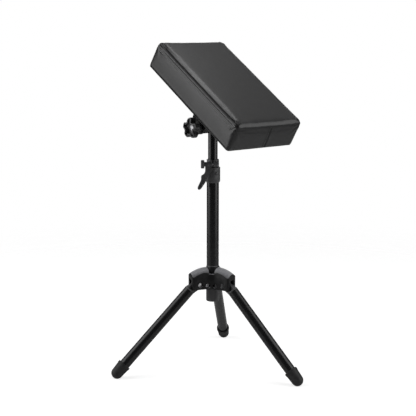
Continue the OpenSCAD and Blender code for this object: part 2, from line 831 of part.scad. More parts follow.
module cross_bushes() {
    color([0.12, 0.12, 0.12]) at_head() for (turn = [0, 180]) rotate([0, 0, turn]) difference() {
        bar_y(cross_r - cross_wall - seat_fit, cross_len / 2 - plug_bush_len, cross_len / 2);
        bar_y(tilt_bolt_d / 2 + run_fit, 0, cross_len);
    }
}

module friction_washers() {
    color([0.15, 0.15, 0.15]) at_head() for (turn = [0, 180]) rotate([0, 0, turn]) difference() {
        bar_y(friction_r, cross_len / 2, washer_out);
        bar_y(tilt_bolt_d / 2 + run_fit, 0, cross_len);
    }
}

/* Bracket and bolt */

// Side outline of an ear: the tilt axis is the origin, x points downhill, y to the board
module ear_outline() {
    top = pad_drop - cloth_t - plate_t;
    heel = [ear_heel_r - ear_uphill, ear_heel_rise];
    below = atan2(heel[1], heel[0]) + acos((bracket_ear_r - ear_heel_r) / norm(heel));
    circle(r = bracket_ear_r);
    translate(heel) circle(r = ear_heel_r);
    polygon([
        [0, 0], bracket_ear_r * [cos(below), sin(below)],
        heel + ear_heel_r * [cos(below), sin(below)], heel, [-ear_uphill, heel[1]],
        [-ear_uphill - ear_heel_r, top + over], [ear_downhill, top + over], [bracket_ear_r, 0]
    ]);
}

// Places of the four bracket screws
screw_y = ear_out + flange_w * 0.55;
module at_bracket_screws() {
    for (x = [-1, 1], y = [-1, 1]) translate([x * screw_pitch / 2, y * screw_y, 0]) children();
}

module pad_bracket() {
    plate_top = pad_drop - cloth_t;
    color([0.07, 0.07, 0.07]) at_pad() difference() {
        union() {
            for (side = [-1, 1]) {
                translate([0, side * (ear_in + ear_out) / 2, 0]) rotate([90, 0, 0])
                    linear_extrude(height = bracket_ear, center = true) ear_outline();
            }
            translate([0, 0, plate_top - plate_t]) linear_extrude(height = plate_t)
                round_rect(plate_l, 2 * (ear_out + flange_w), flange_w / 2);
        }
        bar_y(tilt_bolt_d / 2 + run_fit, -2 * ear_out, 2 * ear_out);
        at_bracket_screws() translate([0, 0, plate_top - plate_t - over])
            cylinder(d = screw_d + 2 * run_fit, h = plate_t + 2 * over);
    }
}

module tilt_bolt() {
    color([0.6, 0.61, 0.63]) at_pad() {
        bar_y(tilt_bolt_d / 2, -bolt_end, ear_out + seat_fit);
        translate([0, ear_out, 0]) rotate([-90, 0, 0]) pan_head(tilt_head_d, tilt_head_h);
    }
}

module knob_washer() {
    color([0.65, 0.66, 0.68]) at_pad() difference() {
        bar_y(washer_r, -knob_back, -ear_out);
        bar_y(tilt_bolt_d / 2 + run_fit, -knob_front, 0);
    }
}

/* Star knob */

// The star's valleys are arcs that run into its lobes
knob_lobe_at = knob_r - knob_lobe_r;
valley_turn = 180 / knob_lobes;
valley_r = (pow(knob_lobe_at, 2) + pow(knob_core_r, 2) - pow(knob_lobe_r, 2)
    - 2 * knob_lobe_at * knob_core_r * cos(valley_turn))
    / (2 * (knob_lobe_r + knob_lobe_at * cos(valley_turn) - knob_core_r));
valley_at = knob_core_r + valley_r;

// Front outline of the star, drawn in all round by an inset
module star_outline(inset) {
    step = valley_turn * 2;
    difference() {
        union() {
            polygon([for (i = [1:knob_lobes], p = [[knob_lobe_at, 0], [valley_at, valley_turn]])
                let (a = 90 + i * step + p[1]) p[0] * [cos(a), sin(a)]]);
            for (i = [1:knob_lobes]) rotate(90 + i * step)
                translate([knob_lobe_at, 0]) circle(r = knob_lobe_r - inset);
        }
        for (i = [1:knob_lobes]) rotate(90 + i * step + valley_turn)
            translate([valley_at, 0]) circle(r = valley_r + inset + seat_fit);
    }
}

// Half section that rounds the star's edges: x is the radius, y runs to its front
module knob_section() {
    edge = knob_t / 5;
    polygon([
        [0, 0], [knob_r - edge, 0], [knob_r, edge], [knob_r, knob_t - 2 * edge],
        [knob_r - edge / 2, knob_t - edge], [knob_r - 2 * edge, knob_t - edge / 4],
        [knob_core_r - edge, knob_t], [0, knob_t]
    ]);
}

module star_knob() {
    color([0.06, 0.06, 0.06]) at_head() rotate([90, 0, 0]) translate([0, 0, knob_back]) difference() {
        union() {
            cylinder(r1 = knob_boss_r * 0.92, r2 = knob_boss_r, h = knob_boss_h);
            translate([0, 0, knob_boss_h]) intersection() {
                linear_extrude(height = knob_t) star_outline(0);
                rotate_extrude() knob_section();
            }
        }
        translate([0, 0, knob_boss_h + knob_t - knob_dish]) linear_extrude(height = knob_dish + over)
            star_outline(knob_rim);
        translate([0, 0, -over]) cylinder(r = insert_r, h = knob_boss_h + knob_t + 2 * over);
    }
}

module knob_insert() {
    insert_len = knob_boss_h + knob_t - knob_dish + insert_proud;
    color([0.78, 0.79, 0.8]) at_head() rotate([90, 0, 0]) translate([0, 0, knob_back]) difference() {
        cylinder(r = insert_r, h = insert_len);
        translate([0, 0, -over]) cylinder(d = tilt_bolt_d + 2 * run_fit, h = insert_len + 2 * over);
    }
}

/* Rest */

// Moves a shape to the rest's middle, on the tilt axis's level
module at_rest() at_pad() translate([-pad_shift, 0, 0]) children();

module bracket_screws() {
    seat = pad_drop - cloth_t - plate_t;
    color([0.7, 0.71, 0.73]) at_pad() at_bracket_screws() translate([0, 0, seat]) difference() {
        union() {
            cylinder(d = screw_d, h = plate_t + cloth_t + board_t);
            rotate([180, 0, 0]) pan_head(head_d, head_h);
        }
        rotate([180, 0, 0]) driver_cross(head_d, head_h);
    }
}

t_barrel_r = screw_d / 2 + cap_wall;
t_flange_r = head_d * 0.85;

module t_nuts() {
    color([0.7, 0.71, 0.73]) at_pad() at_bracket_screws() translate([0, 0, pad_drop]) difference() {
        union() {
            translate([0, 0, board_t / 4]) cylinder(r = t_barrel_r, h = board_t * 3 / 4);
            translate([0, 0, board_t]) cylinder(r = t_flange_r, h = hem_t);
        }
        translate([0, 0, -over]) cylinder(d = screw_d + 2 * seat_fit, h = 2 * board_t);
    }
}

module pad_board() {
    color([0.72, 0.56, 0.36]) difference() {
        at_rest() translate([0, 0, pad_drop]) linear_extrude(height = board_t)
            round_rect(pad_len - 2 * cover_t, pad_w - 2 * cover_t, pad_corner - cover_t);
        at_pad() at_bracket_screws() translate([0, 0, pad_drop - over])
            cylinder(r = t_barrel_r + seat_fit, h = board_t + 2 * over);
    }
}

// Height of the foam block over the board
foam_h = pad_t - hem_t - board_t - roll_r;

module pad_foam() {
    color([0.85, 0.8, 0.6]) difference() {
        at_rest() translate([0, 0, pad_drop + board_t]) linear_extrude(height = foam_h)
            round_rect(pad_len - 2 * cover_t, pad_w - 2 * cover_t, pad_corner - cover_t);
        at_pad() at_bracket_screws() translate([0, 0, pad_drop + board_t - over])
            cylinder(r = t_flange_r + seat_fit, h = hem_t + seat_fit + over);
    }
}

// Points of a quarter of the cover's outline, from the end's middle to the side's middle
end_steps = 4;
arc_steps = 4;
side_steps = 6;
function quarter(l, w, r) = concat(
    [for (i = [0:end_steps - 1]) [l, (w - r) * i / end_steps]],
    [for (i = [0:arc_steps]) let (a = 90 * i / arc_steps) [l - r + r * cos(a), w - r + r * sin(a)]],
    [for (i = [1:side_steps - 1]) [(l - r) * (1 - i / side_steps), w]]
);

// The other three quarters, by turning the first in place
function ring_points(l, w, r) = let (q = quarter(l, w, r), n = len(q)) concat(
    q, [[0, w]], [for (i = [n - 1:-1:1]) [-q[i][0], q[i][1]]],
    [[-l, 0]], [for (i = [1:n - 1]) [-q[i][0], -q[i][1]]],
    [[0, -w]], [for (i = [n - 1:-1:1]) [q[i][0], -q[i][1]]]
);

// Draws the sides in between the corners
function drawn(p, l, w) = [
    p[0] * (1 - draw_in / l * (1 - pow(p[1] / w, 2))),
    p[1] * (1 - draw_in / w * (1 - pow(p[0] / l, 2)))
];

// The cover's levels: how far each ring stands in from the outline, and its height
side_h = pad_t - crown_h;
seam_h = side_h - roll_r;
cover_levels = concat(
    [
        [hem_t, 0], [hem_t / 4, hem_t], [0, seam_h / 3], [0, seam_h * 2 / 3],
        [groove_d / 3, seam_h - groove_d], [groove_d, seam_h], [groove_d / 3, seam_h + groove_d]
    ],
    [for (a = [15:25:90]) [roll_r * (1 - cos(a)) + groove_d / 4, seam_h + roll_r * sin(a)]],
    [
        for (s = [0.25, 0.5, 0.8])
            [roll_r + s * (pad_w / 2 - roll_r), side_h + crown_h * sqrt(1 - pow(1 - s, 2))]
    ]
);
cover_rings = [
    for (lv = cover_levels)
        let (l = pad_len / 2 - lv[0], w = pad_w / 2 - lv[0], r = min(pad_corner, w * 3 / 4))
        [for (p = ring_points(l, w, r)) let (d = drawn(p, l, w)) [d[0], d[1], lv[1]]]
];
cover_n = len(cover_rings[0]);
cover_top = len(cover_rings) - 1;

// The closed outer form of the cover, its underside at z = 0
module cover_form() {
    points = concat([for (ring = cover_rings) each ring], [[0, 0, pad_t]]);
    apex = len(points) - 1;
    walls = [
        for (k = [0:cover_top - 1], i = [0:cover_n - 1])
            let (a = k * cover_n + i, b = k * cover_n + (i + 1) % cover_n)
            each [[a, a + cover_n, b + cover_n], [a, b + cover_n, b]]
    ];
    crown = [
        for (i = [0:cover_n - 1])
            [cover_top * cover_n + i, apex, cover_top * cover_n + (i + 1) % cover_n]
    ];
    polyhedron(points = points, faces = concat([[for (i = [0:cover_n - 1]) i]], walls, crown));
}

module pad_cover() {
    color([0.14, 0.14, 0.15]) at_rest() translate([0, 0, pad_under]) difference() {
        cover_form();
        translate([0, 0, hem_t]) linear_extrude(height = board_t + foam_h)
            round_rect(pad_len - 2 * cover_t, pad_w - 2 * cover_t, pad_corner - cover_t, $fn = 24);
        translate([0, 0, -over]) linear_extrude(height = hem_t + 2 * over)
            square([pad_len - 2 * hem_w, pad_w - 2 * hem_w], center = true);
    }
}

module under_cloth() {
    color([0.1, 0.1, 0.1]) difference() {
        at_rest() translate([0, 0, pad_drop - cloth_t]) linear_extrude(height = cloth_t)
            square([pad_len - 2 * hem_w - cloth_t, pad_w - 2 * hem_w - cloth_t], center = true);
        at_pad() at_bracket_screws() translate([0, 0, pad_drop - cloth_t - over])
            cylinder(d = screw_d + 2 * run_fit, h = cloth_t + 2 * over);
    }
}

hub();
lower_tube();
tube_cap();
pivot_screws();
stop_screws();
leg_nuts();
leg_tube(turn_left);  // leg_tube_left
leg_tongue(turn_left);  // leg_tongue_left
foot(turn_left);  // foot_left
leg_tube(turn_right);  // leg_tube_right
leg_tongue(turn_right);  // leg_tongue_right
foot(turn_right);  // foot_right
leg_tube(turn_rear);  // leg_tube_rear
leg_tongue(turn_rear);  // leg_tongue_rear
foot(turn_rear);  // foot_rear
clamp_collar();
collar_screw();
guide_bush();
clamp_bolt();
round_nut();
clamp_lever();
glide_bush();
upper_tube();
cross_tube();
cross_bushes();
friction_washers();
pad_bracket();
tilt_bolt();
knob_washer();
star_knob();
knob_insert();
bracket_screws();
t_nuts();
pad_board();
pad_foam();
pad_cover();
under_cloth();
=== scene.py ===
"""Arm rest stand: finishes, upholstery, floor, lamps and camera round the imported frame.

Lengths are in metres in the frame's own axes: Z is up, the floor is at z = 0 and the front is at -Y.
"""

import json
import math

import bmesh
import bpy
from bpy.props import FloatProperty, FloatVectorProperty, PointerProperty
from mathutils import Matrix, Vector, noise
from mathutils.bvhtree import BVHTree


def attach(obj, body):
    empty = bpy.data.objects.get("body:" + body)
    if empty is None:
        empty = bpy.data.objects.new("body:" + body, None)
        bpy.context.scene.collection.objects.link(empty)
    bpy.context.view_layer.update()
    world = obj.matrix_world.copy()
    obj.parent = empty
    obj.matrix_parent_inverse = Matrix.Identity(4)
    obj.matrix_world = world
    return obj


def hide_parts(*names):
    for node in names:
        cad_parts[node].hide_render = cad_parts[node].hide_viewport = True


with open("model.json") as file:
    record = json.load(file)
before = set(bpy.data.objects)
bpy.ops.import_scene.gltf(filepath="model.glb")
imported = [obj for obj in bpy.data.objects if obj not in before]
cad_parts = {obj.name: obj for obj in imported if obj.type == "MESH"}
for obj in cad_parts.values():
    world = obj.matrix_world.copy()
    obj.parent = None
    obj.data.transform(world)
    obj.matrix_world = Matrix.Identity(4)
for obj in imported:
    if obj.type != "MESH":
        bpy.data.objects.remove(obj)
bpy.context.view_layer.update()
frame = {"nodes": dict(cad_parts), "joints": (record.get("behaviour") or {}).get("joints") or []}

bl_info = {
    "name": "Arm rest stand",
    "version": (1, 0, 0),
    "blender": (4, 5, 0),
    "location": "3D Viewport > Sidebar > Arm rest",
    "description": "Dresses a folding arm rest stand with paint, rubber, steel and a stitched leather rest",
    "category": "Object",
}

joints = {joint["name"]: joint for joint in frame["joints"]}
post = Vector(joints["post_swivel"]["pos_m"])
LEGS = ("left", "right", "rear")


def rest_axes():
    """Matrix from the rest's own axes to the frame

    x runs downhill, y along the tilt bolt and z square to the board.
    """
    joint = joints["pad_tilt"]
    axis = Vector(joint["axis"])
    turn = math.atan2(-axis.x, axis.y)
    tilt = math.radians(90 - joint["range_deg"][1])
    place = Matrix.Translation(joint["pos_m"])
    return place @ Matrix.Rotation(turn, 4, "Z") @ Matrix.Rotation(tilt, 4, "Y")


def local_box(node, to_frame):
    """Lowest and highest corner of a CAD node in some other axes, given as their matrix to the frame."""
    to_local = to_frame.inverted()
    points = [to_local @ vertex.co for vertex in frame["nodes"][node].data.vertices]
    low = Vector([min(p[i] for p in points) for i in range(3)])
    high = Vector([max(p[i] for p in points) for i in range(3)])
    return low, high


# Settings that a user would change


class StandColours(bpy.types.PropertyGroup):
    """Colours of the stand's finishes, as linear values"""

    paint: FloatVectorProperty(
        name="Tube paint", description="Black paint on the tubes and the bracket",
        subtype="COLOR", size=4, default=(0.006, 0.006, 0.0065, 1.0))
    hub: FloatVectorProperty(
        name="Hub", description="Moulded hub with its fine sand texture",
        subtype="COLOR", size=4, default=(0.008, 0.008, 0.0084, 1.0))
    plastic: FloatVectorProperty(
        name="Plastic", description="Black plastic of the clamp, lever, knob and caps",
        subtype="COLOR", size=4, default=(0.055, 0.055, 0.057, 1.0))
    rubber: FloatVectorProperty(
        name="Rubber", description="Rubber of the feet",
        subtype="COLOR", size=4, default=(0.012, 0.012, 0.0125, 1.0))
    steel: FloatVectorProperty(
        name="Steel", description="Zinc plated screws, nuts and washers",
        subtype="COLOR", size=4, default=(0.62, 0.62, 0.64, 1.0))
    leather: FloatVectorProperty(
        name="Leather", description="Black artificial leather of the rest",
        subtype="COLOR", size=4, default=(0.01, 0.01, 0.0105, 1.0))
    thread: FloatVectorProperty(
        name="Thread", description="Sewing thread of the top stitches",
        subtype="COLOR", size=4, default=(0.24, 0.24, 0.245, 1.0))


class RestSizes(bpy.types.PropertyGroup):
    """Sizes of the upholstered rest"""

    corner: FloatProperty(
        name="Corner radius", description="Radius of the rest's corners seen from above",
        unit="LENGTH", default=0.007)
    roll: FloatProperty(
        name="Roll radius", description="Radius of the rolled edge at the rest's ends",
        unit="LENGTH", default=0.013)
    crown: FloatProperty(
        name="Crown width", description="How far in from the long sides the top starts to fall",
        unit="LENGTH", default=0.022)
    swell: FloatProperty(
        name="Swell", description="How far the filling may push the top out", unit="LENGTH", default=0.001)
    wall_swell: FloatProperty(
        name="Wall swell", description="How far the filling may push the side walls out",
        unit="LENGTH", default=0.0008)
    voxel: FloatProperty(
        name="Cloth grid", description="Grid of the simulated cover", unit="LENGTH", default=0.003)
    pressure: FloatProperty(
        name="Pressure", description="Pressure of the filling while the cover is simulated", default=4.0)
    seam_drop: FloatProperty(
        name="Seam drop", description="Height of the top above the edge seam on the long sides",
        unit="LENGTH", default=0.0045)
    seam_depth: FloatProperty(
        name="Seam depth", description="Depth of the groove at the edge seam",
        unit="LENGTH", default=0.0009)
    flat_drop: FloatProperty(
        name="Flat seam drop", description="Height of the edge seam above the flat seam",
        unit="LENGTH", default=0.0085)
    row_space: FloatProperty(
        name="Stitch row space", description="Distance from the flat seam to the stitch row at each side",
        unit="LENGTH", default=0.0042)
    stitch: FloatProperty(name="Stitch", description="Length of one stitch", unit="LENGTH", default=0.0036)
    stitch_gap: FloatProperty(
        name="Stitch gap", description="Gap between two stitches", unit="LENGTH", default=0.0012)
    thread: FloatProperty(
        name="Thread radius", description="Radius of the sewing thread", unit="LENGTH", default=0.0006)


class StageSettings(bpy.types.PropertyGroup):
    """Camera and light"""

    lens: FloatProperty(name="Lens", description="The camera's focal length", unit="CAMERA", default=92.31)
    distance: FloatProperty(
        name="Distance", description="Distance from the camera to its aim", unit="LENGTH", default=2.804)
    azimuth: FloatProperty(
        name="Azimuth", description="Turn of the camera round the stand", subtype="ANGLE",
        default=math.radians(7.13))
    elevation: FloatProperty(
        name="Elevation", description="Height of the camera above the horizon as an angle",
        subtype="ANGLE", default=math.radians(9.73))
    roll: FloatProperty(
        name="Roll", description="Roll of the camera", subtype="ANGLE", default=math.radians(0.02))
    aim_height: FloatProperty(
        name="Aim height", description="Height that the camera looks at", unit="LENGTH", default=0.4314)
    aim_shift: FloatProperty(
        name="Aim shift", description="How far right of the post the camera looks", unit="LENGTH",
        default=-0.0126)
    key: FloatProperty(name="Key", description="Power of the left softbox", unit="POWER", default=56.0)
    fill: FloatProperty(name="Fill", description="Power of the right softbox", unit="POWER", default=50.0)
    top: FloatProperty(
        name="Top", description="Power of the small softbox up behind", unit="POWER", default=4.5)
    strip: FloatProperty(name="Strip", description="Strength of the white strip in gloss", default=2.5)
    sky: FloatProperty(name="Sky", description="Strength of the sky behind the stand in gloss", default=0.4)
    world: FloatProperty(name="World", description="Strength of the world's light", default=0.07)


# Materials


class Tree:
    """The nodes of a material or a world, and the means to add to them"""

    def __init__(self, owner):
        owner.use_nodes = True
        self.nodes = owner.node_tree.nodes
        self.links = owner.node_tree.links

    def set(self, socket, value):
        """Gives an input a value, or links it to another node's socket"""
        if isinstance(value, bpy.types.NodeSocket):
            self.links.new(value, socket)
        else:
            socket.default_value = value

    def node(self, kind, inputs=None, **settings):
        """A new node with its settings and inputs"""
        made = self.nodes.new("ShaderNode" + kind)
        for key, value in settings.items():
            setattr(made, key, value)
        for key, value in (inputs or {}).items():
            self.set(made.inputs[key], value)
        return made

    def ramp(self, factor, low, high, start=0.0, end=1.0, **settings):
        """A value that runs from low to high while the factor runs from start to end"""
        inputs = {"Value": factor, "From Min": start, "From Max": end, "To Min": low, "To Max": high}
        return self.node("MapRange", inputs, **settings).outputs[0]

    def join(self, operation, first, second):
        """The sum, product or comparison of two numbers"""
        return self.node("Math", {0: first, 1: second}, operation=operation).outputs[0]

    def ray(self, kind):
        """1 for one kind of ray and 0 for the others"""
        return self.node("LightPath").outputs[f"Is {kind} Ray"]


class Shader(Tree):
    """A material with one surface shader, on coordinates that ride with the piece"""

    def __init__(self, name, **values):
        self.material = bpy.data.materials.new(name)
        super().__init__(self.material)
        self.surface = self.nodes["Principled BSDF"]
        self.place = self.node("TexCoord").outputs["Object"]
        for key, value in values.items():
            self.surface.inputs[key.replace("_", " ").title().replace("Ior", "IOR")].default_value = value

    def noise(self, scale, detail=3.0, stretch=None):
        """Noise of a given scale, stretched along the axes if asked"""
        place = self.place
        if stretch:
            place = self.node("Mapping", {"Vector": place, "Scale": stretch}).outputs[0]
        return self.node("TexNoise", {"Vector": place, "Scale": scale, "Detail": detail}).outputs["Fac"]

    def mix(self, factor, first, second):
        """A colour between two colours"""
        made = self.node("Mix", {"Factor": factor}, data_type="RGBA")
        colours = [socket for socket in made.inputs if socket.type == "RGBA"]
        for socket, value in zip(colours, (first, second)):
            self.set(socket, value)
        return [socket for socket in made.outputs if socket.type == "RGBA"][0]

    def feed(self, name, socket):
        """Feeds one input of the surface shader"""
        self.links.new(socket, self.surface.inputs[name])

    def bump(self, height, distance, strength=1.0, below=None):
        """Adds relief, over an earlier relief if there is one"""
        inputs = {"Height": height, "Distance": distance, "Strength": strength}
        if below:
            inputs["Normal"] = below
        return self.node("Bump", inputs).outputs["Normal"]


def shade(colour, factor):
    """The same colour, lighter or darker"""
    return (*[min(1.0, c * factor) for c in colour[:3]], 1.0)


def paint_material(colours):
    """Black paint: satin gloss over a faint orange peel, cloudy in shade and in gloss"""
    base = tuple(colours.paint)
    made = Shader("black_paint", roughness=0.27, specular_ior_level=0.45)
    cloud = made.noise(35.0, 4.0)
    made.feed("Base Color", made.mix(cloud, shade(base, 0.8), shade(base, 1.35)))
    made.feed("Roughness", made.ramp(made.noise(90.0), 0.23, 0.31))
    made.feed("Normal", made.bump(made.noise(900.0, 2.0), 0.00002, 0.6))
    return made.material


def hub_material(colours):
    """Hub: moulded in a sand texture, with painted light from above that lightens its upward faces, mottled
    by noise
    """
    base = tuple(colours.hub)
    made = Shader("hub_sand", roughness=0.42, specular_ior_level=0.22)
    grain = made.noise(2600.0, 3.0)
    plain = made.mix(made.ramp(grain, 0, 1, 0.35, 0.65), shade(base, 0.7), shade(base, 1.5))
    # Painted light from above: faces that point up get a mottled colour many times lighter than the hub's
    # own
    upward = made.node("SeparateXYZ", {"Vector": made.node("TexCoord").outputs["Normal"]}).outputs["Z"]
    painted_top_light_share = made.ramp(upward, 0.0, 1.0, 0.25, 0.8)
    mottle = made.mix(made.ramp(made.noise(500.0, 5.0), 0, 1, 0.3, 0.7), shade(base, 23.0), shade(base, 48.0))
    made.feed("Base Color", made.mix(painted_top_light_share, plain, mottle))
    made.feed("Roughness", made.ramp(made.noise(400.0), 0.36, 0.48, 0.3, 0.7))
    made.feed("Normal", made.bump(grain, 0.00008, 0.5))
    return made.material


def plastic_material(colours):
    """Black plastic with a fine spark texture and faint flow marks"""
    base = tuple(colours.plastic)
    made = Shader("black_plastic", roughness=0.46, specular_ior_level=0.5)
    flow = made.noise(60.0, 5.0, (1.0, 1.0, 0.3))
    grain = made.noise(3200.0, 2.0)
    made.feed("Base Color", made.mix(flow, shade(base, 0.75), shade(base, 1.4)))
    made.feed("Roughness", made.ramp(flow, 0.4, 0.54, 0.3, 0.7))
    made.feed("Normal", made.bump(grain, 0.00006, 0.6))
    return made.material


def rubber_material(colours):
    """Rubber feet: matt, with dusty patches and moulding grain"""
    base = tuple(colours.rubber)
    made = Shader("black_rubber", roughness=0.62, specular_ior_level=0.4)
    mottle = made.ramp(made.noise(140.0, 6.0), 0.0, 1.0, 0.45, 0.75)
    made.feed("Base Color", made.mix(mottle, shade(base, 0.8), shade(base, 1.8)))
    made.feed("Roughness", made.ramp(mottle, 0.55, 0.75))
    made.feed("Normal", made.bump(made.noise(1900.0, 3.0), 0.00009, 0.7))
    return made.material


# Metallic share of a dull plating, and where the painted shade on the pieces at the right begins and is
# full, in metres
DULL_PLATING = 0.75
RIGHT_SHADE_START = (0.004, 0.008)


def steel_material(colours, name, factor, roughness, right=None):
    """Plated steel: fine turning marks and a cloudy plating

    Where a factor for the right is given, the plating is duller and its pieces at the right get a painted
    shade, darker by that factor.
    """
    base = tuple(colours.steel)
    made = Shader(name, metallic=DULL_PLATING if right else 1.0, roughness=roughness)
    cloud = made.noise(300.0, 4.0)
    marks = made.noise(700.0, 2.0, (1.0, 1.0, 6.0))
    colour = made.mix(cloud, shade(base, 0.8 * factor), shade(base, 1.1 * factor))
    # Painted shade: the pieces at the right of the stand get a darker colour
    if right:
        across = made.node("SeparateXYZ", {"Vector": made.place}).outputs["X"]
        colour = made.mix(made.ramp(across, 0, 1, *RIGHT_SHADE_START), colour, shade(base, right))
    made.feed("Base Color", colour)
    made.feed("Roughness", made.ramp(marks, roughness * 0.8, roughness * 1.3, 0.3, 0.7))
    made.feed("Normal", made.bump(marks, 0.00003, 0.5))
    return made.material


def leather_material(colours):
    """Artificial leather: a pebbled grain in two sizes, cloudy in shade and in gloss"""
    base = tuple(colours.leather)
    made = Shader("black_leather", roughness=0.3, specular_ior_level=0.45)
    cells = made.node("TexVoronoi", {"Vector": made.place, "Scale": 620.0, "Randomness": 0.9},
                      feature="SMOOTH_F1").outputs["Distance"]
    cloud = made.noise(14.0, 4.0)
    fine = made.noise(2400.0, 3.0)
    pores = made.ramp(cells, 0.0, 1.0, 0.25, 0.75)
    made.feed("Base Color", made.mix(made.noise(38.0, 5.0), shade(base, 0.75), shade(base, 1.3)))
    made.feed("Roughness", made.ramp(cloud, 0.26, 0.36))
    pebble = made.bump(pores, 0.0001, 0.4)
    made.feed("Normal", made.bump(fine, 0.00002, 0.4, below=pebble))
    return made.material


def thread_material(colours):
    """Twisted sewing thread"""
    base = tuple(colours.thread)
    made = Shader("black_thread", roughness=0.55, sheen_weight=0.3)
    twist = made.node("TexWave", {"Vector": made.place, "Scale": 1500.0, "Distortion": 2.0},
                      bands_direction="DIAGONAL").outputs["Fac"]
    made.feed("Base Color", made.mix(twist, shade(base, 0.6), shade(base, 1.3)))
    made.feed("Normal", made.bump(twist, 0.00008, 0.7))
    return made.material


def cloth_material():
    """Spun dust cloth under the board"""
    made = Shader("dust_cloth", roughness=0.85, sheen_weight=0.2)
    fibre = made.noise(900.0, 6.0, (1.0, 0.25, 1.0))
    dots = made.node("TexVoronoi", {"Vector": made.place, "Scale": 700.0, "Randomness": 0.15})
    made.feed("Base Color", made.mix(fibre, (0.006, 0.006, 0.006, 1.0), (0.022, 0.022, 0.023, 1.0)))
    made.feed("Normal", made.bump(dots.outputs["Distance"], 0.0002, 0.8))
    return made.material


def plain_material(name, low, high, scale, roughness, relief):
    """A pale material with some cloud and relief, for the pieces inside the rest and the post"""
    made = Shader(name, roughness=roughness)
    cloud = made.noise(scale, 5.0, (1.0, 0.2, 1.0))
    made.feed("Base Color", made.mix(cloud, low, high))
    made.feed("Normal", made.bump(cloud, relief, 0.6))
    return made.material


MATERIALS = {}


def make_materials(colours):
    """Makes each finish once, under the name that the pieces ask for"""
    MATERIALS.update({
        "paint": paint_material(colours),
        "hub": hub_material(colours),
        "plastic": plastic_material(colours),
        "rubber": rubber_material(colours),
        "zinc": steel_material(colours, "zinc_steel", 1.0, 0.42),
        # The screws at the right get a painted shade
        "screws": steel_material(colours, "screw_steel", 1.5, 0.45, 0.12),
        "dark_steel": steel_material(colours, "black_steel", 0.16, 0.42),
        "bright": steel_material(colours, "bright_steel", 0.55, 0.4),
        "leather": leather_material(colours),
        "thread": thread_material(colours),
        "cloth": cloth_material(),
        "white_plastic": plain_material(
            "white_plastic", (0.6, 0.6, 0.57, 1), (0.72, 0.72, 0.7, 1), 40, 0.4, 1e-5),
        "plywood": plain_material(
            "plywood", (0.33, 0.2, 0.1, 1), (0.56, 0.39, 0.22, 1), 120, 0.7, 1e-4),
        "foam": plain_material(
            "foam", (0.62, 0.53, 0.27, 1), (0.76, 0.68, 0.4, 1), 500, 0.9, 4e-4),
    })


def finish_node(node, finish):
    """Gives a CAD node a finish in its own material slots"""
    slots = frame["nodes"][node].data.materials
    slots.clear()
    slots.append(MATERIALS[finish])


# Meshes


def linked(name, data):
    """A new object in the scene"""
    made = bpy.data.objects.new(name, data)
    bpy.context.scene.collection.objects.link(made)
    return made


def mesh_from(work, name):
    """The mesh of an edit mesh, which is then freed"""
    mesh = bpy.data.meshes.new(name)
    work.to_mesh(mesh)
    work.free()
    return mesh


def new_piece(name, mesh, finish, body, slot, *nodes):
    """Makes a piece from a mesh in the frame's axes; it rides on a body and stands for some CAD nodes"""
    piece = linked(name, mesh)
    mesh.materials.clear()
    mesh.materials.append(MATERIALS[finish])
    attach(piece, body)
    if nodes:
        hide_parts(*nodes)
    return piece


# Distance within which vertices are one in metres, and in degrees the angles of flat faces, of edges that
# are rounded and of edges that are shaded sharp
SAME_PLACE = 1e-6
FLAT_ANGLE = 0.5
ROUNDED_ANGLE = 32.0
SHARP_ANGLE = 38.0


def softened(node, width, segments):
    """A copy of a CAD node's mesh with its sharp edges rounded"""
    mesh = frame["nodes"][node].data.copy()
    mesh.name = node + "_soft"
    work = bmesh.new()
    work.from_mesh(mesh)
    bmesh.ops.remove_doubles(work, verts=work.verts, dist=SAME_PLACE)
    flat = math.radians(FLAT_ANGLE)
    bmesh.ops.dissolve_limit(work, angle_limit=flat, verts=work.verts, edges=work.edges)
    work.to_mesh(mesh)
    work.free()
    holder = linked(node + "_holder", mesh)
    bevel = holder.modifiers.new("soft edges", "BEVEL")
    bevel.width = width
    bevel.segments = segments
    bevel.limit_method = "ANGLE"
    bevel.angle_limit = math.radians(ROUNDED_ANGLE)
    bevel.use_clamp_overlap = True
    bevel.harden_normals = False
    rounded = applied(holder)
    bpy.data.objects.remove(holder)
    smooth_by_angle(rounded, SHARP_ANGLE)
    return rounded


def soft_piece(node, width, finish, body, slot, segments=2):
    """Makes a piece that stands for a CAD node, with the node's sharp edges rounded to a width"""
    new_piece(node + "_body", softened(node, width, segments), finish, body, slot, node)


def applied(holder):
    """The mesh of an object with its modifiers applied"""
    graph = bpy.context.evaluated_depsgraph_get()
    return bpy.data.meshes.new_from_object(holder.evaluated_get(graph))


def smooth_by_angle(mesh, degrees):
    """Smooth shading with sharp edges over an angle"""
    mesh.shade_smooth()
    mesh.set_sharp_from_angle(angle=math.radians(degrees))


def closed_tube(made, rings):
    """Skins rings of corners, one after the other, and closes both ends"""
    corners = len(rings[0])
    for first, second in zip(rings, rings[1:]):
        for i in range(corners):
            j = (i + 1) % corners
            made.faces.new((first[i], first[j], second[j], second[i]))
    made.faces.new(list(reversed(rings[0])))
    made.faces.new(rings[-1])


# Operators


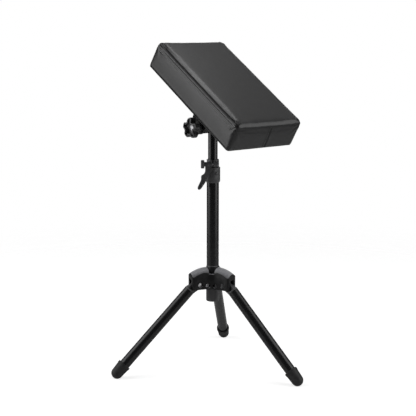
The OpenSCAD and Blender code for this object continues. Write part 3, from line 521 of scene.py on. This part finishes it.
class ARMREST_OT_stage(bpy.types.Operator):
    """Makes the floor, the white surroundings, the softboxes and the camera"""

    bl_idname = "armrest.stage"
    bl_label = "Stage"

    # Turn of the walls in degrees, and their strength in gloss away from the patches
    WALL_TURN = -6.8
    DARK_WALL = 0.04

    # Half the floor's side in metres, its grey, the light it gives the camera, and where it fades out
    FLOOR_HALF = 4.0
    FLOOR_GREY = 0.75
    FLOOR_GLOW = 0.68
    FLOOR_FADE = (0.6, 2.2)

    def execute(self, context):
        stage = context.scene.armrest_stage
        self.surroundings(context.scene, stage)
        self.floor()
        self.lamps(stage)
        self.camera(context.scene, stage)
        return {"FINISHED"}

    def surroundings(self, scene, stage):
        """White to the camera, the walls to gloss and glass, and softer as a light"""
        world = bpy.data.worlds.new("surroundings")
        scene.world = world
        tree = Tree(world)
        soft = tree.nodes["Background"]
        soft.inputs["Color"].default_value = (1, 1, 1, 1)
        soft.inputs["Strength"].default_value = stage.world
        white = tree.node("Background", {"Color": (1, 1, 1, 1), "Strength": self.walls(tree, stage)})
        seen = tree.join("MAXIMUM", tree.ray("Camera"), tree.ray("Glossy"))
        seen = tree.join("MAXIMUM", seen, tree.ray("Transmission"))
        mix = tree.node("MixShader", {"Fac": seen, 1: soft.outputs[0], 2: white.outputs[0]})
        tree.links.new(mix.outputs[0], tree.nodes["World Output"].inputs["Surface"])

    def walls(self, tree, stage):
        """Strength of the surroundings: full to the camera; in gloss two bright patches, dark elsewhere

        The patches are a strip behind the stand and a softer sky above it. Each fades in along two axes
        of the turned view, between a start and an end.
        """
        place = tree.node("TexCoord").outputs["Generated"]
        turn = (0, 0, math.radians(self.WALL_TURN))
        parts = tree.node("SeparateXYZ", {
            "Vector": tree.node("Mapping", {"Vector": place, "Rotation": turn}).outputs[0]}).outputs
        gloss = self.DARK_WALL
        for strength, gates in (
            (stage.strip, (("Y", 0.9, 0.97), ("Z", 0.0, 0.1))),
            (stage.sky, (("Y", 0.1, 0.4), ("Z", 0.3, 0.6))),
        ):
            patch = strength
            for axis, start, end in gates:
                step = tree.ramp(parts[axis], 0.0, 1.0, start, end, interpolation_type="SMOOTHSTEP")
                patch = tree.join("MULTIPLY", step, patch)
            gloss = tree.join("MAXIMUM", patch, gloss)
        camera = tree.ray("Camera")
        other = tree.join("MULTIPLY", gloss, tree.join("SUBTRACT", 1.0, camera))
        return tree.join("ADD", camera, other)

    def floor(self):
        """A pale floor that keeps the stand's shadow and fades into the surroundings"""
        half = self.FLOOR_HALF
        mesh = bpy.data.meshes.new("floor")
        mesh.from_pydata([(-half, -half, 0), (half, -half, 0), (half, half, 0), (-half, half, 0)], [],
                         [(0, 1, 2, 3)])
        made = Shader("pale_floor", base_color=(self.FLOOR_GREY,) * 3 + (1,), roughness=0.9,
                      specular_ior_level=0.0, emission_color=(1, 1, 1, 1))
        made.feed("Emission Strength", made.join("MULTIPLY", made.ray("Camera"), self.FLOOR_GLOW))
        reach = made.node("VectorMath", {0: made.place}, operation="LENGTH").outputs["Value"]
        made.feed("Alpha", made.ramp(reach, 1.0, 0.0, *self.FLOOR_FADE, interpolation_type="SMOOTHSTEP"))
        mesh.materials.append(made.material)
        floor = linked("floor", mesh)

    def lamps(self, stage):
        """Two tall softboxes at the sides and a small one up behind

        Each has its power, its turn round the stand and height as angles, its distance and its size.
        """
        aim = Vector((0, post.y, stage.aim_height))
        boxes = {
            "key_softbox": (stage.key, -73, 22, 2.6, (2.3, 3.2)),
            "fill_softbox": (stage.fill, 78, 22, 2.6, (2.3, 3.2)),
            "top_softbox": (stage.top, 155, 67, 2.4, (0.6, 0.6)),
        }
        for name, (power, azimuth, elevation, distance, size) in boxes.items():
            lamp = bpy.data.lights.new(name, "AREA")
            lamp.shape = "RECTANGLE"
            lamp.size, lamp.size_y = size
            lamp.energy = power
            box = linked(name, lamp)
            back = direction(math.radians(azimuth), math.radians(elevation))
            box.location = aim + back * distance
            box.rotation_euler = back.to_track_quat("Z", "Y").to_euler()
            box.visible_camera = False

    def camera(self, scene, stage):
        """The photograph's viewpoint"""
        data = bpy.data.cameras.new("camera")
        data.lens = stage.lens
        data.sensor_width = 36.0
        data.clip_end = 100.0
        camera = linked("camera", data)
        back = direction(stage.azimuth, stage.elevation)
        right = Vector((math.cos(stage.azimuth), math.sin(stage.azimuth), 0))
        aim = Vector((0, post.y, stage.aim_height)) + right * stage.aim_shift
        turn = Matrix.Rotation(stage.roll, 3, "Z")
        camera.location = aim + back * stage.distance
        camera.rotation_euler = (back.to_track_quat("Z", "Y").to_matrix() @ turn).to_euler()
        scene.camera = camera


def direction(azimuth, elevation):
    """Unit vector from the stand towards a viewer: azimuth 0 is the front, and it grows to the right"""
    flat = math.cos(elevation)
    return Vector((math.sin(azimuth) * flat, -math.cos(azimuth) * flat, math.sin(elevation)))


class ARMREST_OT_finishes(bpy.types.Operator):
    """Makes the finishes and gives each carried-over node its own"""

    bl_idname = "armrest.finishes"
    bl_label = "Finishes"

    def execute(self, context):
        make_materials(context.scene.armrest_colours)
        finishes = {
            "paint": ["lower_tube", "upper_tube", "cross_tube"] + ["leg_tube_" + leg for leg in LEGS],
            "plastic": ["tube_cap", "guide_bush", "cross_bushes"],
            "rubber": ["friction_washers"],
            "screws": ["pivot_screws", "stop_screws"],
            "zinc": ["clamp_bolt", "tilt_bolt", "knob_washer", "bracket_screws", "t_nuts"],
            "dark_steel": ["leg_nuts", "collar_screw"],
            "bright": ["knob_insert"],
            "white_plastic": ["glide_bush"],
            "plywood": ["pad_board"],
            "foam": ["pad_foam"],
            "cloth": ["under_cloth"],
        }
        for finish, nodes in finishes.items():
            for node in nodes:
                finish_node(node, finish)
        return {"FINISHED"}


class ARMREST_OT_hub(bpy.types.Operator):
    """Makes the hub with rounded edges and its sand texture"""

    bl_idname = "armrest.hub"
    bl_label = "Hub"

    def execute(self, context):
        soft_piece("hub", 0.0012, "hub", "base", "hub_cast")
        return {"FINISHED"}


class ARMREST_OT_legs(bpy.types.Operator):
    """Makes the legs' tongues and rubber feet with rounded edges"""

    bl_idname = "armrest.legs"
    bl_label = "Legs"

    def execute(self, context):
        for leg in LEGS:
            soft_piece("leg_tongue_" + leg, 0.0008, "plastic", "leg_" + leg, "black_plastic")
            soft_piece("foot_" + leg, 0.0006, "rubber", "leg_" + leg, "black_rubber")
        return {"FINISHED"}


class ARMREST_OT_clamp(bpy.types.Operator):
    """Makes the clamp's collar, its round nut and its lever with rounded edges"""

    bl_idname = "armrest.clamp"
    bl_label = "Clamp"

    def execute(self, context):
        soft_piece("clamp_collar", 0.0006, "plastic", "base", "black_plastic")
        soft_piece("round_nut", 0.0006, "plastic", "base", "black_plastic")
        soft_piece("clamp_lever", 0.0012, "plastic", "lever", "black_plastic")
        return {"FINISHED"}


class ARMREST_OT_head(bpy.types.Operator):
    """Makes the bracket and the star knob with rounded edges"""

    bl_idname = "armrest.head"
    bl_label = "Head"

    def execute(self, context):
        soft_piece("pad_bracket", 0.0008, "paint", "pad", "tube_paint")
        soft_piece("star_knob", 0.0012, "plastic", "knob", "black_plastic", 3)
        return {"FINISHED"}


class RestForm:
    """Outer form of the rest in its own axes, taken from the CAD cover"""

    # How far the cover goes below the board, in metres, and the steps of a rounded edge
    BOARD_GAP = 0.0003
    ROUND_STEPS = 5

    def __init__(self, sizes):
        self.sizes = sizes
        self.to_frame = rest_axes()
        low, high = local_box("pad_cover", self.to_frame)
        self.centre = (low + high) / 2
        self.from_middle = Matrix.Translation((self.centre.x, self.centre.y, 0))
        self.half_l = (high.x - low.x) / 2
        self.half_w = (high.y - low.y) / 2
        self.under, self.top = low.z, high.z
        self.bottom = local_box("pad_board", self.to_frame)[0].z - self.BOARD_GAP
        self.seam = self.top - sizes.seam_drop

    def block(self, name, inset, low, high, rim_radius=0.0):
        """A block with round corners about the rest's middle, its walls an inset inside the rest's"""
        work = bmesh.new()
        bmesh.ops.create_cube(work, size=1.0)
        size = (2 * (self.half_l - inset), 2 * (self.half_w - inset), high - low)
        bmesh.ops.scale(work, vec=size, verts=work.verts)
        bmesh.ops.translate(work, vec=(0, 0, (high + low) / 2), verts=work.verts)
        work.normal_update()
        upright = [e for e in work.edges if abs(e.verts[0].co.z - e.verts[1].co.z) > size[2] / 2]
        self.round_edges(work, upright, self.sizes.corner)
        work.normal_update()
        if rim_radius:
            rim = [e for e in work.edges if min(v.co.z for v in e.verts) > high - 1e-5
                   and any(abs(f.normal.z) < 0.5 for f in e.link_faces)]
            self.round_edges(work, rim, rim_radius)
        return mesh_from(work, name)

    def round_edges(self, work, edges, radius):
        """Rounds some edges of a block"""
        bmesh.ops.bevel(
            work, geom=edges, offset=radius, segments=self.ROUND_STEPS, profile=0.5, affect="EDGES")

    def outward(self, x, y):
        """Direction out of the side walls at a place, and 0 to 1 for how far it is round a corner"""
        corner = self.sizes.corner
        across = Vector((max(abs(x) - self.half_l + corner, 0), max(abs(y) - self.half_w + corner, 0)))
        if across.length < 1e-6:
            return Vector((0, 0, 0)), 0.0
        across.normalize()
        round_corner = 2 * min(across.x, across.y)
        return Vector((math.copysign(across.x, x), math.copysign(across.y, y), 0)), min(1.0, round_corner)


def falloff(distance, width):
    """1 in the middle of a feature, and near 0 at twice its width"""
    return math.exp(-(distance / width) ** 2)


def ridge(distance, height, width):
    """Height at a distance from the middle of a ridge, or of a groove if the height is under 0"""
    return height * falloff(distance, width)


def ease(value, start, end):
    """0 before start and 1 after end, with a smooth step between"""
    t = min(1.0, max(0.0, (value - start) / (end - start)))
    return t * t * (3 - 2 * t)


def ripple(x, y, z, seed=0.0):
    """Smooth noise from -1 to 1, the same each run"""
    return noise.noise(Vector((x + seed, y - seed, z + 2 * seed)))


class ARMREST_OT_cushion(bpy.types.Operator):
    """Makes the padded rest: a block whose cover is blown out by its filling, then sewn"""

    bl_idname = "armrest.cushion"
    bl_label = "Cushion"

    def execute(self, context):
        form = RestForm(context.scene.armrest_sizes)
        block = form.block("rest_block", form.sizes.wall_swell, form.bottom, form.top - form.sizes.swell)
        mesh = self.swollen(context.scene, form, block)
        self.sew(mesh, form)
        mesh.transform(form.to_frame)
        mesh.shade_smooth()
        cushion = new_piece("rest_cushion", mesh, "leather", "pad", "pad_leather", "pad_cover")
        return {"FINISHED"}

    def swollen(self, scene, form, block):
        """The block's skin after the filling has pushed it out, held at the board"""
        sizes = form.sizes
        holder = linked("rest_holder", block)
        remesh = holder.modifiers.new("grid", "REMESH")
        remesh.mode = "VOXEL"
        remesh.voxel_size = sizes.voxel
        skin = applied(holder)
        holder.modifiers.clear()
        holder.data = skin
        self.blow(scene, holder, form)
        self.let_out(skin, applied(holder), form)
        holder.modifiers.clear()
        smooth = holder.modifiers.new("finer", "SUBSURF")
        smooth.levels = 1
        fine = applied(holder)
        bpy.data.objects.remove(holder)
        return fine

    def let_out(self, skin, moved, form):
        """Moves the skin towards where the cloth went, as far as the swell lets it"""
        sizes = form.sizes
        least_share, grow_start, grow_end = 0.02, 0.004, 0.04
        for vertex, new in zip(skin.vertices, moved.vertices):
            old = vertex.co.copy()
            step = new.co - old
            upward = abs(vertex.normal.z)
            reach = sizes.wall_swell + (sizes.swell - sizes.wall_swell) * upward ** 2
            reach *= least_share + ease(old.z, form.bottom + grow_start, form.bottom + grow_end)
            vertex.co = old + step / (1 + step.length / reach)

    def blow(self, scene, holder, form):
        """Runs the cover as cloth under the filling's pressure"""
        held_height, last_frame = 0.012, 20
        held = holder.vertex_groups.new(name="held")
        for vertex in holder.data.vertices:
            if vertex.co.z < form.bottom + held_height:
                held.add([vertex.index], 1.0, "REPLACE")
        cloth = holder.modifiers.new("cover", "CLOTH")
        settings = cloth.settings
        settings.quality = 6
        settings.use_pressure = True
        settings.uniform_pressure_force = form.sizes.pressure
        settings.effector_weights.gravity = 0.0
        settings.vertex_group_mass = "held"
        settings.bending_stiffness = 1.5
        cloth.point_cache.frame_start = 1
        cloth.point_cache.frame_end = last_frame
        for frame_number in range(1, last_frame + 1):
            scene.frame_set(frame_number)

    def sew(self, mesh, form):
        """Rounds the top's edges down to the seams, draws the seams in and gives the cover its folds"""
        sizes = form.sizes
        fall_end, seams_full = 0.04, 0.004
        wall_start, wall_full = 0.2, 0.6
        normals = [v.normal.copy() for v in mesh.vertices]
        for vertex, normal in zip(mesh.vertices, normals):
            p = vertex.co.copy()
            p.z -= self.fall(form, p) * ease(p.z, form.top - fall_end, form.top - sizes.swell)
            out, corner = form.outward(p.x, p.y)
            level = p.z - form.top + sizes.roll * out.x ** 2 + sizes.seam_drop * out.y ** 2
            wall = ease(math.hypot(normal.x, normal.y), wall_start, wall_full)
            side = wall * ease(p.z, form.bottom, form.bottom + seams_full)
            shift = out * self.seam_relief(form, p, level, corner, out) * side
            shift += normal * self.folds(form, p, level, corner)
            vertex.co = p + shift
        mesh.transform(form.from_middle)

    def fall(self, form, p):
        """How far the top lies under its middle: an ellipse near the sides, a circle near the ends"""
        sizes = form.sizes
        falls = []
        for inside, reach, drop in (
            (form.half_w - sizes.wall_swell - abs(p.y), sizes.crown, sizes.seam_drop),
            (form.half_l - sizes.wall_swell - abs(p.x), sizes.roll, sizes.roll),
        ):
            share = min(1.0, max(0.0, 1 - inside / reach))
            falls.append(drop * (1 - math.sqrt(1 - share ** 2)))
        return math.hypot(*falls)

    def seam_relief(self, form, p, level, corner, out):
        """How far the cover stands out at its seams, in metres

        Each seam, and the ridges beside it, has a height, under 0 for a groove, and a width.
        """
        sizes = form.sizes
        edge_width, pucker_share, puckers = 0.002, 0.2, 90
        flat_seam, flat_ridges = (-0.0008, 0.0017), (0.0004, 0.002)
        end_seam, end_ridges, ridge_place = (-0.0017, 0.0019), (0.0006, 0.0025), 0.0045
        end_place, end_lean, end_start, end_full = 0.006, 0.1, 0.012, 0.004
        long_side = out.y ** 2
        pucker = pucker_share * ripple(p.x * puckers, p.y * puckers, 0)
        depth = sizes.seam_depth * (0.2 + 0.8 * long_side + pucker + 0.5 * corner)
        relief = -depth * falloff(level, edge_width)
        flat = level + sizes.flat_drop
        relief += ridge(flat, *flat_seam) * long_side
        relief += ridge(abs(flat) - sizes.row_space, *flat_ridges) * long_side
        lean = end_lean * -level
        if p.x > 0:
            line = p.y - end_place - lean
        else:
            line = p.y + end_place + lean
        end = ease(abs(p.x), form.half_l - end_start, form.half_l - end_full) * (1 - corner)
        below = ease(-level, -0.001, 0.003)
        relief += ridge(line, *end_seam) * end * below
        relief += ridge(abs(line) - ridge_place, *end_ridges) * end * below
        return relief

    def folds(self, form, p, level, corner):
        """Soft folds along the crest and at the corners, in metres"""
        crest_start, crest_full, crest_width = 0.0002, 0.0015, 0.01
        lump_height, slack_height = 0.00025, 0.0004
        lumps_flat, lumps_deep, slacks, unevens = 45, 20, 7, 30
        gather_height, gather_width, gather_place, gathers = 0.0005, 0.016, 0.014, 9
        dimple, centre = (-0.0016, 0.005), 0.004
        crest = ease(self.fall(form, p), crest_start, crest_full) * falloff(level, crest_width)
        lump = lump_height * ripple(p.x * lumps_flat, p.y * lumps_flat, p.z * lumps_deep, 3.0) * crest
        slack = slack_height * ripple(p.x * slacks, p.y * slacks, p.z * slacks, 7.0)
        at_x = abs(p.x) - form.half_l + form.sizes.corner
        at_y = abs(p.y) - form.half_w + form.sizes.corner
        near = math.sqrt(max(0.0, -at_x) ** 2 + max(0.0, -at_y) ** 2 + level ** 2)
        turn = math.atan2(level, max(-at_x, -at_y) + centre)
        fan = math.sin(gathers * turn + 4 * ripple(p.x * unevens, p.y * unevens, 0, 5.0))
        gather = gather_height * fan * falloff(near - gather_place, gather_width) * (1 - corner)
        return lump + slack + gather + ridge(near, *dimple)


class ARMREST_OT_filling(bpy.types.Operator):
    """Makes the foam inside the rest's cover"""

    bl_idname = "armrest.filling"
    bl_label = "Filling"

    def execute(self, context):
        form = RestForm(context.scene.armrest_sizes)
        inset, top_gap, rim_radius = 0.007, 0.003, 0.009
        low, high = local_box("pad_foam", form.to_frame)
        mesh = form.block("rest_foam", inset, low.z, high.z - top_gap, rim_radius)
        mesh.transform(form.to_frame @ form.from_middle)
        smooth_by_angle(mesh, 35)
        new_piece("rest_foam", mesh, "foam", "pad", "foam", "pad_foam")
        return {"FINISHED"}


class ARMREST_OT_stitches(bpy.types.Operator):
    """Makes a row of top stitches at each side of the flat seam, along the rest's long sides"""

    bl_idname = "armrest.stitches"
    bl_label = "Stitches"

    def execute(self, context):
        form = RestForm(context.scene.armrest_sizes)
        sizes = form.sizes
        cushion = bpy.data.objects["rest_cushion"]
        skin = cushion.data.copy()
        skin.transform(form.to_frame.inverted())
        work = bmesh.new()
        work.from_mesh(skin)
        tree = BVHTree.FromBMesh(work)
        work.free()
        made = bmesh.new()
        free_corners = 1.2
        reach = form.half_l - sizes.corner * free_corners
        count = int(2 * reach / (sizes.stitch + sizes.stitch_gap))
        for side in (-1, 1):
            for drop in (sizes.flat_drop - sizes.row_space, sizes.flat_drop + sizes.row_space):
                for i in range(count):
                    x = -reach + (i + 0.5) * 2 * reach / count
                    self.stitch(made, tree, form, x, side, form.seam - drop)
        mesh = mesh_from(made, "rest_stitches")
        mesh.transform(form.to_frame)
        mesh.shade_smooth()
        new_piece("rest_stitches", mesh, "thread", "pad", "pad_leather")
        return {"FINISHED"}

    def stitch(self, made, tree, form, x, side, z):
        """One stitch that dives into the cover at both ends"""
        sizes = form.sizes
        steps, corners, outside = 4, 6, 0.3
        arch_share, sink_share, end_share, middle_share = 0.9, 0.35, 0.55, 0.45
        up = Vector((0, 0, 1))
        rings = []
        for step in range(steps + 1):
            share = step / steps
            along = form.centre.x + x + (share - 0.5) * sizes.stitch
            place = Vector((along, form.centre.y + side * outside, z))
            hit, normal, _, _ = tree.ray_cast(place, Vector((0, -side, 0)))
            if hit is None:
                return
            arch = math.sin(math.pi * share)
            middle = hit + normal * (sizes.thread * (arch_share * arch - sink_share))
            radius = sizes.thread * (end_share + middle_share * arch)
            ring = []
            for corner in range(corners):
                angle = math.tau * corner / corners
                spread = normal * math.cos(angle) * radius + up * math.sin(angle) * radius
                ring.append(made.verts.new(middle + spread))
            rings.append(ring)
        closed_tube(made, rings)


class ARMREST_OT_hem(bpy.types.Operator):
    """Makes the cover's hem under the board, pleated at the corners, and its staples"""

    bl_idname = "armrest.hem"
    bl_label = "Hem and staples"

    def execute(self, context):
        form = RestForm(context.scene.armrest_sizes)
        inner = local_box("under_cloth", form.to_frame)
        width = form.half_w - (inner[1].y - inner[0].y) / 2
        self.hem(form, width)
        self.staples(form, width)
        return {"FINISHED"}

    def hem(self, form, width):
        """A band of leather round the underside, with pleats at each corner"""
        rows, outer_inset, inner_inset, lift = 7, 0.0015, 0.0005, 0.0003
        pleat_height, pleat_turns, wrinkle_height, wrinkles = 0.00035, 20, 0.00025, 70
        turned_share, leather_share = 0.15, 0.7
        made = bmesh.new()
        thick = form.bottom - form.under
        outline = self.outline(form)
        rings = []
        for row in range(rows + 1):
            share = row / rows
            inset = outer_inset + share * (width - inner_inset - outer_inset)
            squeeze_x = (form.half_l - inset) / form.half_l
            squeeze_y = (form.half_w - inset) / form.half_w
            turned = thick * turned_share * (1 - share) ** 4
            ring = []
            for x, y, corner in outline:
                pleat = pleat_height * math.cos(corner * pleat_turns) * share if corner else 0.0
                wrinkle = wrinkle_height * ripple(x * wrinkles, y * wrinkles, share * 2, 2.0)
                z = form.under + turned + pleat + wrinkle + lift
                ring.append(made.verts.new((x * squeeze_x, y * squeeze_y, z)))
            rings.append(ring)
        count = len(outline)
        for outer, inner in zip(rings, rings[1:]):
            for i in range(count):
                j = (i + 1) % count
                made.faces.new((outer[i], inner[i], inner[j], outer[j]))
        mesh = mesh_from(made, "rest_hem")
        mesh.transform(form.from_middle)
        holder = linked("hem_holder", mesh)
        thicken = holder.modifiers.new("leather", "SOLIDIFY")
        thicken.thickness = thick * leather_share
        thicken.offset = -1.0
        band = applied(holder)
        bpy.data.objects.remove(holder)
        band.transform(form.to_frame)
        smooth_by_angle(band, 50)
        new_piece("rest_hem", band, "leather", "pad", "pad_leather")

    def outline(self, form):
        """Points round the rest, each with its place on a corner, or 0 on a straight side"""
        side_step = 0.012
        corners = ((1, -1, -90), (1, 1, 0), (-1, 1, 90), (-1, -1, 180))
        arcs = [self.arc(form, *corner) for corner in corners]
        points = []
        for arc, following in zip(arcs, arcs[1:] + arcs[:1]):
            points += arc
            end, goal = arc[-1], following[0]
            steps = int(math.dist(end[:2], goal[:2]) / side_step)
            for i in range(1, steps):
                share = i / steps
                x, y = (end[axis] + (goal[axis] - end[axis]) * share for axis in (0, 1))
                points.append((x, y, 0.0))
        return points

    def arc(self, form, side_x, side_y, start):
        """Points round one corner of the rest from a start angle in degrees"""
        steps, radius = 8, form.sizes.corner
        x, y = side_x * (form.half_l - radius), side_y * (form.half_w - radius)
        points = []
        for i in range(steps + 1):
            share = i / steps
            angle = math.radians(start + 90 * share)
            points.append((x + radius * math.cos(angle), y + radius * math.sin(angle), 0.2 + share))
        return points

    def staples(self, form, width):
        """Wire staples along the hem's inner edge"""
        place_share, space, proud, most_skew = 0.62, 0.034, 0.0002, 0.35
        made = bmesh.new()
        half_x = form.half_l - width * place_share
        half_y = form.half_w - width * place_share
        z = form.under - proud
        for half, off, along_x in ((half_x, half_y, True), (half_y, half_x, False)):
            count = int(2 * half / space)
            for side in (-1, 1):
                for i in range(count):
                    along = -half + (i + 0.5) * 2 * half / count
                    skew = most_skew * ripple(along * 200, side, 0, 9.0)
                    middle = Vector((along, side * off, z) if along_x else (side * off, along, z))
                    turn = skew if along_x else skew + math.pi / 2
                    self.staple(made, middle, turn)
        mesh = mesh_from(made, "rest_staples")
        mesh.transform(form.from_middle)
        mesh.transform(form.to_frame)
        smooth_by_angle(mesh, 50)
        new_piece("rest_staples", mesh, "zinc", "pad", "zinc_steel")

    def staple(self, made, middle, turn):
        """One staple: a crown with two legs that go into the board"""
        half, wire, depth = 0.0056, 0.0004, 0.0016
        along = Vector((math.cos(turn), math.sin(turn), 0))
        across = Vector((-along.y, along.x, 0))
        sunk = Vector((0, 0, depth))
        left, right = middle - along * half, middle + along * half
        rings = []
        for i, point in enumerate((left + sunk, left, right, right + sunk)):
            ring = []
            for u, v in ((1, 1), (-1, 1), (-1, -1), (1, -1)):
                level = Vector((0, 0, -wire * v)) if i in (1, 2) else Vector((0, 0, 0))
                edge = along * (-wire * v if i < 2 else wire * v)
                ring.append(made.verts.new(point + across * wire * u + level + edge))
            rings.append(ring)
        closed_tube(made, rings)


class ARMREST_PT_panel(bpy.types.Panel):
    """Lists the stand's settings and the operators in order"""

    bl_idname = "ARMREST_PT_panel"
    bl_label = "Arm rest stand"
    bl_space_type = "VIEW_3D"
    bl_region_type = "UI"
    bl_category = "Arm rest"

    def draw(self, context):
        layout = self.layout
        for name in ("armrest_colours", "armrest_sizes", "armrest_stage"):
            group = getattr(context.scene, name)
            box = layout.box()
            for key in group.__annotations__:
                box.prop(group, key)
        for operator in OPERATORS:
            layout.operator(operator.bl_idname)


OPERATORS = (ARMREST_OT_stage, ARMREST_OT_finishes, ARMREST_OT_hub, ARMREST_OT_legs, ARMREST_OT_clamp,
             ARMREST_OT_head, ARMREST_OT_cushion, ARMREST_OT_filling, ARMREST_OT_stitches,
             ARMREST_OT_hem)
GROUPS = {"armrest_colours": StandColours, "armrest_sizes": RestSizes, "armrest_stage": StageSettings}


def register():
    """Registers the classes and hangs the settings on the scene"""
    for made in (*GROUPS.values(), *OPERATORS, ARMREST_PT_panel):
        bpy.utils.register_class(made)
    for name, group in GROUPS.items():
        setattr(bpy.types.Scene, name, PointerProperty(type=group))


def unregister():
    """Takes the settings and the classes away again"""
    for name in GROUPS:
        delattr(bpy.types.Scene, name)
    for made in (ARMREST_PT_panel, *reversed(OPERATORS), *GROUPS.values()):
        bpy.utils.unregister_class(made)


def main():
    """Builds the scene"""
    register()
    bpy.context.scene.view_settings.view_transform = "Standard"
    for operator in OPERATORS:
        group, name = operator.bl_idname.split(".")
        getattr(getattr(bpy.ops, group), name)()


if __name__ == "__main__":
    main()
